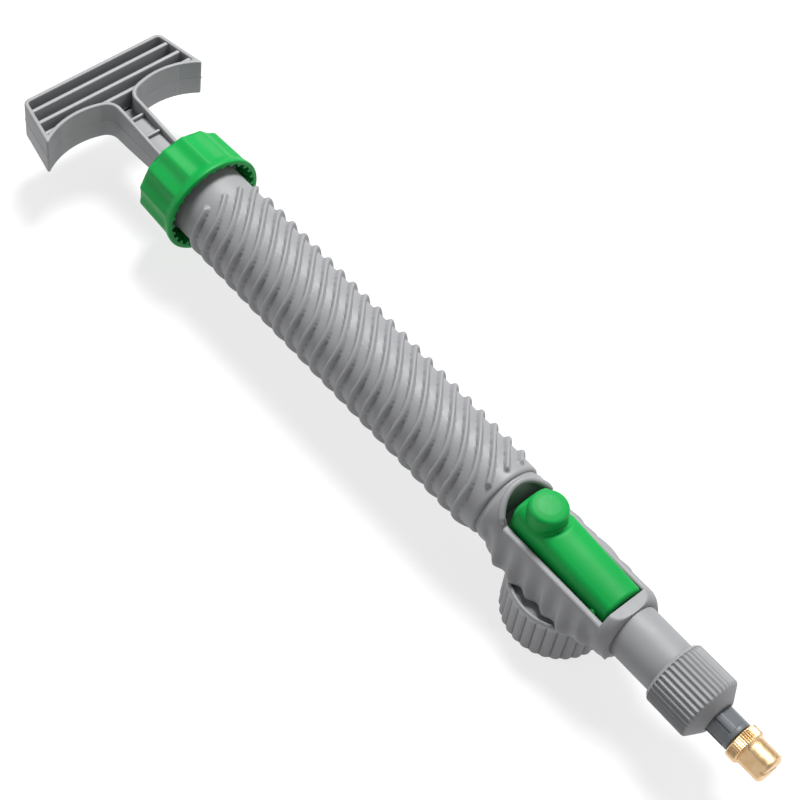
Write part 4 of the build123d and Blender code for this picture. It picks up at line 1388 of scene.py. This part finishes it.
@dataclass(frozen=True)
class Outlet:
    """Smooth tube, ribbed nut and dark stem in front of the housing."""

    axis_z: float
    tube: Span
    nut: Span
    stem: Span
    tube_r: float = 8.5
    tube_bore_r: float = 3.0
    plug_r: float = 7.2
    groove_half: float = 0.75
    groove_depth: float = 1.5
    shoulder: float = 23.4
    nut_r: float = 10.5
    nut_cone: float = 3.2
    nut_hole_r: float = 4.8
    nut_inside: float = 54.0
    nut_ribs: int = 40
    nut_rib_depth: float = 0.6
    stem_r: float = 4.7
    stem_front: float = 66.0
    stem_nose_r: float = 3.8
    stem_bore_r: float = 1.5
    flange_r: float = 7.6
    flange_front: float = 54.0
    flat_depth: float = 0.75
    ridge_half: float = 0.5
    flat_angle: float = math.radians(-16.5)
    stem_count: int = 288

    def tube_shell(self) -> Shell:
        """Turned tube with its grooved plug.

        Returns:
            The shell.
        """
        rear, front = self.tube.low[0], self.tube.high[0]
        mid, r, deep = (rear + self.shoulder) / 2, self.plug_r, self.plug_r - self.groove_depth
        low, high = mid - self.groove_half, mid + self.groove_half
        corners = [(rear, self.tube_bore_r), (rear, r), (low, r), (low, deep), (high, deep), (high, r),
                   (self.shoulder, r), (self.shoulder, self.tube_r), (front, self.tube_r),
                   (front, self.tube_bore_r)]
        return lathe(corners, 0.25, 160, Axis.BARREL, self.axis_z)

    def nut_shell(self) -> Shell:
        """Turned nut with round ribs: the radius falls by depth * |sin(ribs * angle / 2)|^1.3 between
        a small rear step and the cone.

        Returns:
            The shell.
        """
        rear, front, r = self.nut.low[0], self.nut.high[0], self.nut_r
        cone = front - self.nut_cone
        corners = [(rear, self.tube_r + 0.02), (rear, r - 1.1), (rear + 1.1, r - 0.1), (cone, r),
                   (front - 0.3, self.stem_r + 1.5), (front, self.stem_r + 0.9), (front, self.nut_hole_r),
                   (self.nut_inside, self.nut_hole_r), (self.nut_inside, self.tube_r + 0.02)]
        fillets = [0.1, 0.3, 0.3, 1.0, 0.5, 0.2, 0.2, 0.2, 0.2]
        path = divided(rounded(corners, fillets, 5), 0.7, closed=True)
        angle, x, radius = spun(path, self.nut_ribs * 12)
        groove = np.abs(np.sin(self.nut_ribs * angle / 2))[None, :] ** 1.2
        band = smooth(x, rear + 0.9, rear + 1.3) * (1 - smooth(x, cone - 0.2, cone + 0.7))
        band = band * (radius > r - 1.0)
        radius = radius - self.nut_rib_depth * groove * band
        return turned(path[:, 0], radius, Axis.BARREL, self.axis_z)

    def stem_shell(self) -> Shell:
        """Turned stem. Between the nut and the end collar four flats are sunk between lengthwise
        ridges: the radius is held to reach / cos(angle from the flat's middle) away from a ridge.

        Returns:
            The shell.
        """
        rear, end, r = self.stem.low[0], self.stem.high[0], self.stem_r
        front = self.stem_front
        flat_start, flat_end = self.nut.high[0] - 0.5, front - 1.5
        corners = [(rear, self.stem_bore_r), (rear, self.flange_r), (self.flange_front, self.flange_r),
                   (self.flange_front, r), (front, r), (front, self.stem_nose_r),
                   (end, self.stem_nose_r), (end, self.stem_bore_r)]
        fillets = [0.1, 0.2, 0.2, 0.2, 0.35, 0.1, 0.2, 0.1]
        path = divided(rounded(corners, fillets, 4), 0.35, closed=True)
        angle, x, radius = spun(path, self.stem_count)
        quarter = TURN / 4
        off = (angle - self.flat_angle + quarter / 2) % quarter - quarter / 2
        ridge = (quarter / 2 - np.abs(off)) * r
        hold = (r - self.flat_depth) / np.cos(off)
        sunk = np.minimum(np.minimum(hold, r), r - 0.35)
        sunk = r + (sunk - r) * smooth(ridge, self.ridge_half - 0.12, self.ridge_half + 0.12)
        band = smooth(x, flat_start, flat_start + 0.3) * (1 - smooth(x, flat_end - 0.25, flat_end))
        band = band * (radius > r - 0.3) * (x > self.flange_front + 1)
        radius = radius + (sunk[None, :] - r) * band
        return turned(path[:, 0], radius, Axis.BARREL, self.axis_z)

    def pieces(self) -> list[Piece]:
        """Tube, nut and stem as three pieces.

        Returns:
            The pieces.
        """
        tube, nut, stem = (self.tube_shell(),), (self.nut_shell(),), (self.stem_shell(),)
        return [Piece("outlet_tube_smooth", tube, Body.BARREL, Slot.GREY, ("outlet_tube",)),
                Piece("nozzle_nut_ribbed", nut, Body.BARREL, Slot.GREY, ("nozzle_nut",), 44),
                Piece("nozzle_stem_fluted", stem, Body.BARREL, Slot.STEM, ("nozzle_stem",), 30)]


@dataclass(frozen=True)
class BrassTip:
    """Turned brass tip: knurled ring, slim nose with two spanner flats, and an orifice."""

    axis_z: float
    rear: float
    front: float
    tip_r: float = 4.7
    knurl_r: float = 5.6
    knurl_length: float = 4.1
    bore_r: float = 3.9
    seal_r: float = 4.86
    seal_half: float = 0.53
    end_wall: float = 2.4
    orifice_r: float = 0.5
    teeth: int = 48
    tooth_depth: float = 0.22
    flat_reach: float = 4.15
    flat_angle: float = math.radians(60)
    slot_half: float = 0.45
    slot_depth: float = 0.9
    slot_angle: float = math.radians(62)
    count: int = 576

    def shell(self) -> Shell:
        """Turned tip. The knurl's radius follows a triangle wave. The flats hold the radius to
        reach / |cos(angle from the flat's middle)| in front of the knurl.

        Returns:
            The shell.
        """
        knurl_front = self.rear + self.knurl_length
        seal_x = self.rear + self.knurl_length / 2
        end = self.front - self.end_wall
        r, k = self.tip_r, self.knurl_r
        corners = [(self.rear, self.bore_r), (self.rear, k - 0.35), (self.rear + 0.35, k),
                   (knurl_front - 0.9, k), (knurl_front, r + 0.1), (knurl_front + 0.3, r),
                   (self.front - 0.7, r), (self.front, r - 0.7), (self.front, self.orifice_r + 0.35),
                   (self.front - 0.35, self.orifice_r), (end, self.orifice_r), (end, self.bore_r),
                   (seal_x + self.seal_half, self.bore_r), (seal_x + self.seal_half, self.seal_r),
                   (seal_x - self.seal_half, self.seal_r), (seal_x - self.seal_half, self.bore_r)]
        path = divided(rounded(corners, 0.12, 2), 0.3, closed=True)
        angle, x, radius = spun(path, self.count)
        wave = np.abs((self.teeth * angle / TURN) % 1 - 0.5)[None, :] * 2
        knurled = smooth(x, self.rear + 0.1, self.rear + 0.5) * (radius > r + 0.3) * (
            1 - smooth(x, knurl_front - 1.0, knurl_front - 0.7))
        radius = radius - self.tooth_depth * wave * knurled
        facing = np.maximum(np.abs(np.cos(angle - self.flat_angle)), 1e-3)[None, :]
        flat = np.where(x > knurl_front - 0.55, self.flat_reach / facing, np.inf)
        radius = np.where(radius > self.flat_reach - 0.9, np.minimum(radius, flat), radius)
        body = turned(path[:, 0], radius, Axis.BARREL, self.axis_z)
        points = body.points.copy()
        rise = points[:, 2] - self.axis_z
        away = np.abs(points[:, 1] * math.cos(self.slot_angle) + rise * math.sin(self.slot_angle))
        depth = self.slot_depth * (1 - smooth(away, self.slot_half - 0.1, self.slot_half + 0.1))
        points[:, 0] -= depth * (points[:, 0] > self.front - 0.3)
        return Shell(points, body.quads, body.tris)

    def piece(self) -> Piece:
        """The tip as a piece."""
        return Piece("nozzle_tip_knurled", (self.shell(),), Body.TIP, Slot.BRASS, ("nozzle_tip",), 28)


# ---------------------------------------------------------------- studio


@dataclass(frozen=True)
class Lamp:
    """Square soft light: where it hangs and its side in metres, and its watts."""

    name: str
    place: Triple
    size: float
    power: float


LAMPS = (Lamp("key", (-0.48, 0.47, 1.13), 0.4, 28.0), Lamp("side", (0.9, 0.6, 0.9), 1.0, 6.0),
         Lamp("fill", (-0.85, -0.75, 0.55), 0.5, 3.0))


@dataclass(frozen=True)
class Studio:
    """Pale floor, soft lights and the camera."""

    floor_size: float = 6.0
    middle: Triple = (-0.06, 0.0, 0.03)
    camera_place: Triple = (0.149263, -0.260146, 0.501774)
    right: Triple = (0.64946703, 0.75282273, 0.10700704)
    down: Triple = (0.66040271, -0.48869715, -0.57012574)
    ahead: Triple = (-0.37690958, 0.44094561, -0.81455886)
    lens: float = 89.98
    sensor: float = 36.0
    world_strength: float = 0.25

    def floor(self) -> None:
        """Lays a flat floor at the height of the object's lowest point."""
        half = self.floor_size / 2
        mesh = bpy.data.meshes.new("floor")
        corners = [(-half, -half, 0), (half, -half, 0), (half, half, 0), (-half, half, 0)]
        mesh.from_pydata(corners, [], [(0, 1, 2, 3)])
        paint = StudioFloor("pale_floor", (0.22, 0.22, 0.22), (0.20, 0.20, 0.205))
        mesh.materials.append(paint.make())
        plane = bpy.data.objects.new("floor", mesh)
        bpy.context.scene.collection.objects.link(plane)

    def lights(self) -> None:
        """Hangs the high key, a wide side light and a low fill from the rear, all soft squares that
        face the object's middle, and sets the world's glow.
        """
        for lamp in LAMPS:
            light = bpy.data.lights.new(lamp.name, "AREA")
            light.shape, light.size, light.energy = "SQUARE", lamp.size, lamp.power
            thing = bpy.data.objects.new(lamp.name, light)
            thing.location = lamp.place
            ray = Vector(self.middle) - Vector(lamp.place)
            thing.rotation_euler = ray.to_track_quat("-Z", "Y").to_euler()
            bpy.context.scene.collection.objects.link(thing)
        world = bpy.data.worlds.new("studio_air")
        world.use_nodes = True
        world.node_tree.nodes["Background"].inputs["Color"].default_value = (1, 1, 1, 1)
        world.node_tree.nodes["Background"].inputs["Strength"].default_value = self.world_strength
        bpy.context.scene.world = world

    def camera(self) -> None:
        """Places the camera: its columns are right, up and backwards."""
        data = bpy.data.cameras.new("camera")
        data.lens, data.sensor_width = self.lens, self.sensor
        data.clip_start, data.clip_end = 0.01, 50
        thing = bpy.data.objects.new("camera", data)
        r, d, a, p = self.right, self.down, self.ahead, self.camera_place
        thing.matrix_world = Matrix([(r[i], -d[i], -a[i], p[i]) for i in range(3)] + [(0, 0, 0, 1)])
        bpy.context.scene.collection.objects.link(thing)
        bpy.context.scene.camera = thing

    def set_up(self) -> None:
        """Builds the studio and picks a neutral view of its light."""
        self.floor()
        self.lights()
        self.camera()
        bpy.context.scene.view_settings.view_transform = "Standard"


COLLAR_BACK = 1.0
RECESS_GAP = 1.3
GRIP_DEPTH = 19.6
LEVER_REACH = 0.6
KEPT_NODES = {
    "piston_ring": Slot.RUBBER, "valve_plunger": Slot.GREY, "valve_seal": Slot.RUBBER,
    "valve_spring": Slot.STEEL, "gland_ring": Slot.RUBBER, "plunger_gland": Slot.GREY,
    "neck_insert": Slot.GREY, "air_check_disc": Slot.RUBBER, "bottle_gasket": Slot.RUBBER,
    "plug_ring": Slot.RUBBER, "nozzle_washer": Slot.RUBBER, "swirl_core": Slot.GREY,
    "tip_seal": Slot.RUBBER,
}


def dress_kept_nodes(nodes: dict[str, bpy.types.Object],
                     finishes: dict[Slot, bpy.types.Material]) -> None:
    """Gives the CAD nodes that stay their finish.

    Args:
        nodes: the frame's nodes.
        finishes: made materials.
    """
    for name, slot in KEPT_NODES.items():
        node = nodes[name]
        if not node.material_slots:
            node.data.materials.append(finishes[slot])
        for place in node.material_slots:
            place.material = finishes[slot]
        LOG.info("%s: kept, %s", name, slot.value)


def main() -> None:
    """Loads the frame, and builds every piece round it."""
    logging.basicConfig(level=logging.INFO, format="%(name)s %(message)s")
    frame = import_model()
    finishes = {slot: finish.make() for slot, finish in FINISHES.items()}
    tube, grip, cap, lever, ring, tip, housing = (Span.of(name) for name in (
        "outlet_tube", "pump_handle", "barrel_cap", "lever", "bottle_ring", "nozzle_tip",
        "barrel_housing"))
    axis_z = float(tube.middle[2])
    pieces = [
        Barrel(axis_z, housing.low[0]).piece(),
        LeverHousing(axis_z, housing.high[0] - COLLAR_BACK, lever.high[0] + RECESS_GAP).piece(),
        Cap(axis_z, cap.low[0], cap.high[0]).piece(),
        PumpHandle(axis_z, grip.low[0], (grip.low[0] + GRIP_DEPTH, grip.high[1])).piece(),
        ThumbLever(axis_z, lever.low[0], lever.high[0] + LEVER_REACH).piece(),
        BottleRing(ring.high[2], (ring.high[1] - ring.low[1]) / 2).piece(),
        *Outlet(axis_z, tube, Span.of("nozzle_nut"), Span.of("nozzle_stem")).pieces(),
        BrassTip(axis_z, tip.low[0], tip.high[0]).piece(),
    ]
    for piece in pieces:
        piece.build(finishes[piece.slot])
    dress_kept_nodes(frame["nodes"], finishes)
    Studio().set_up()


if __name__ == "__main__":
    main()
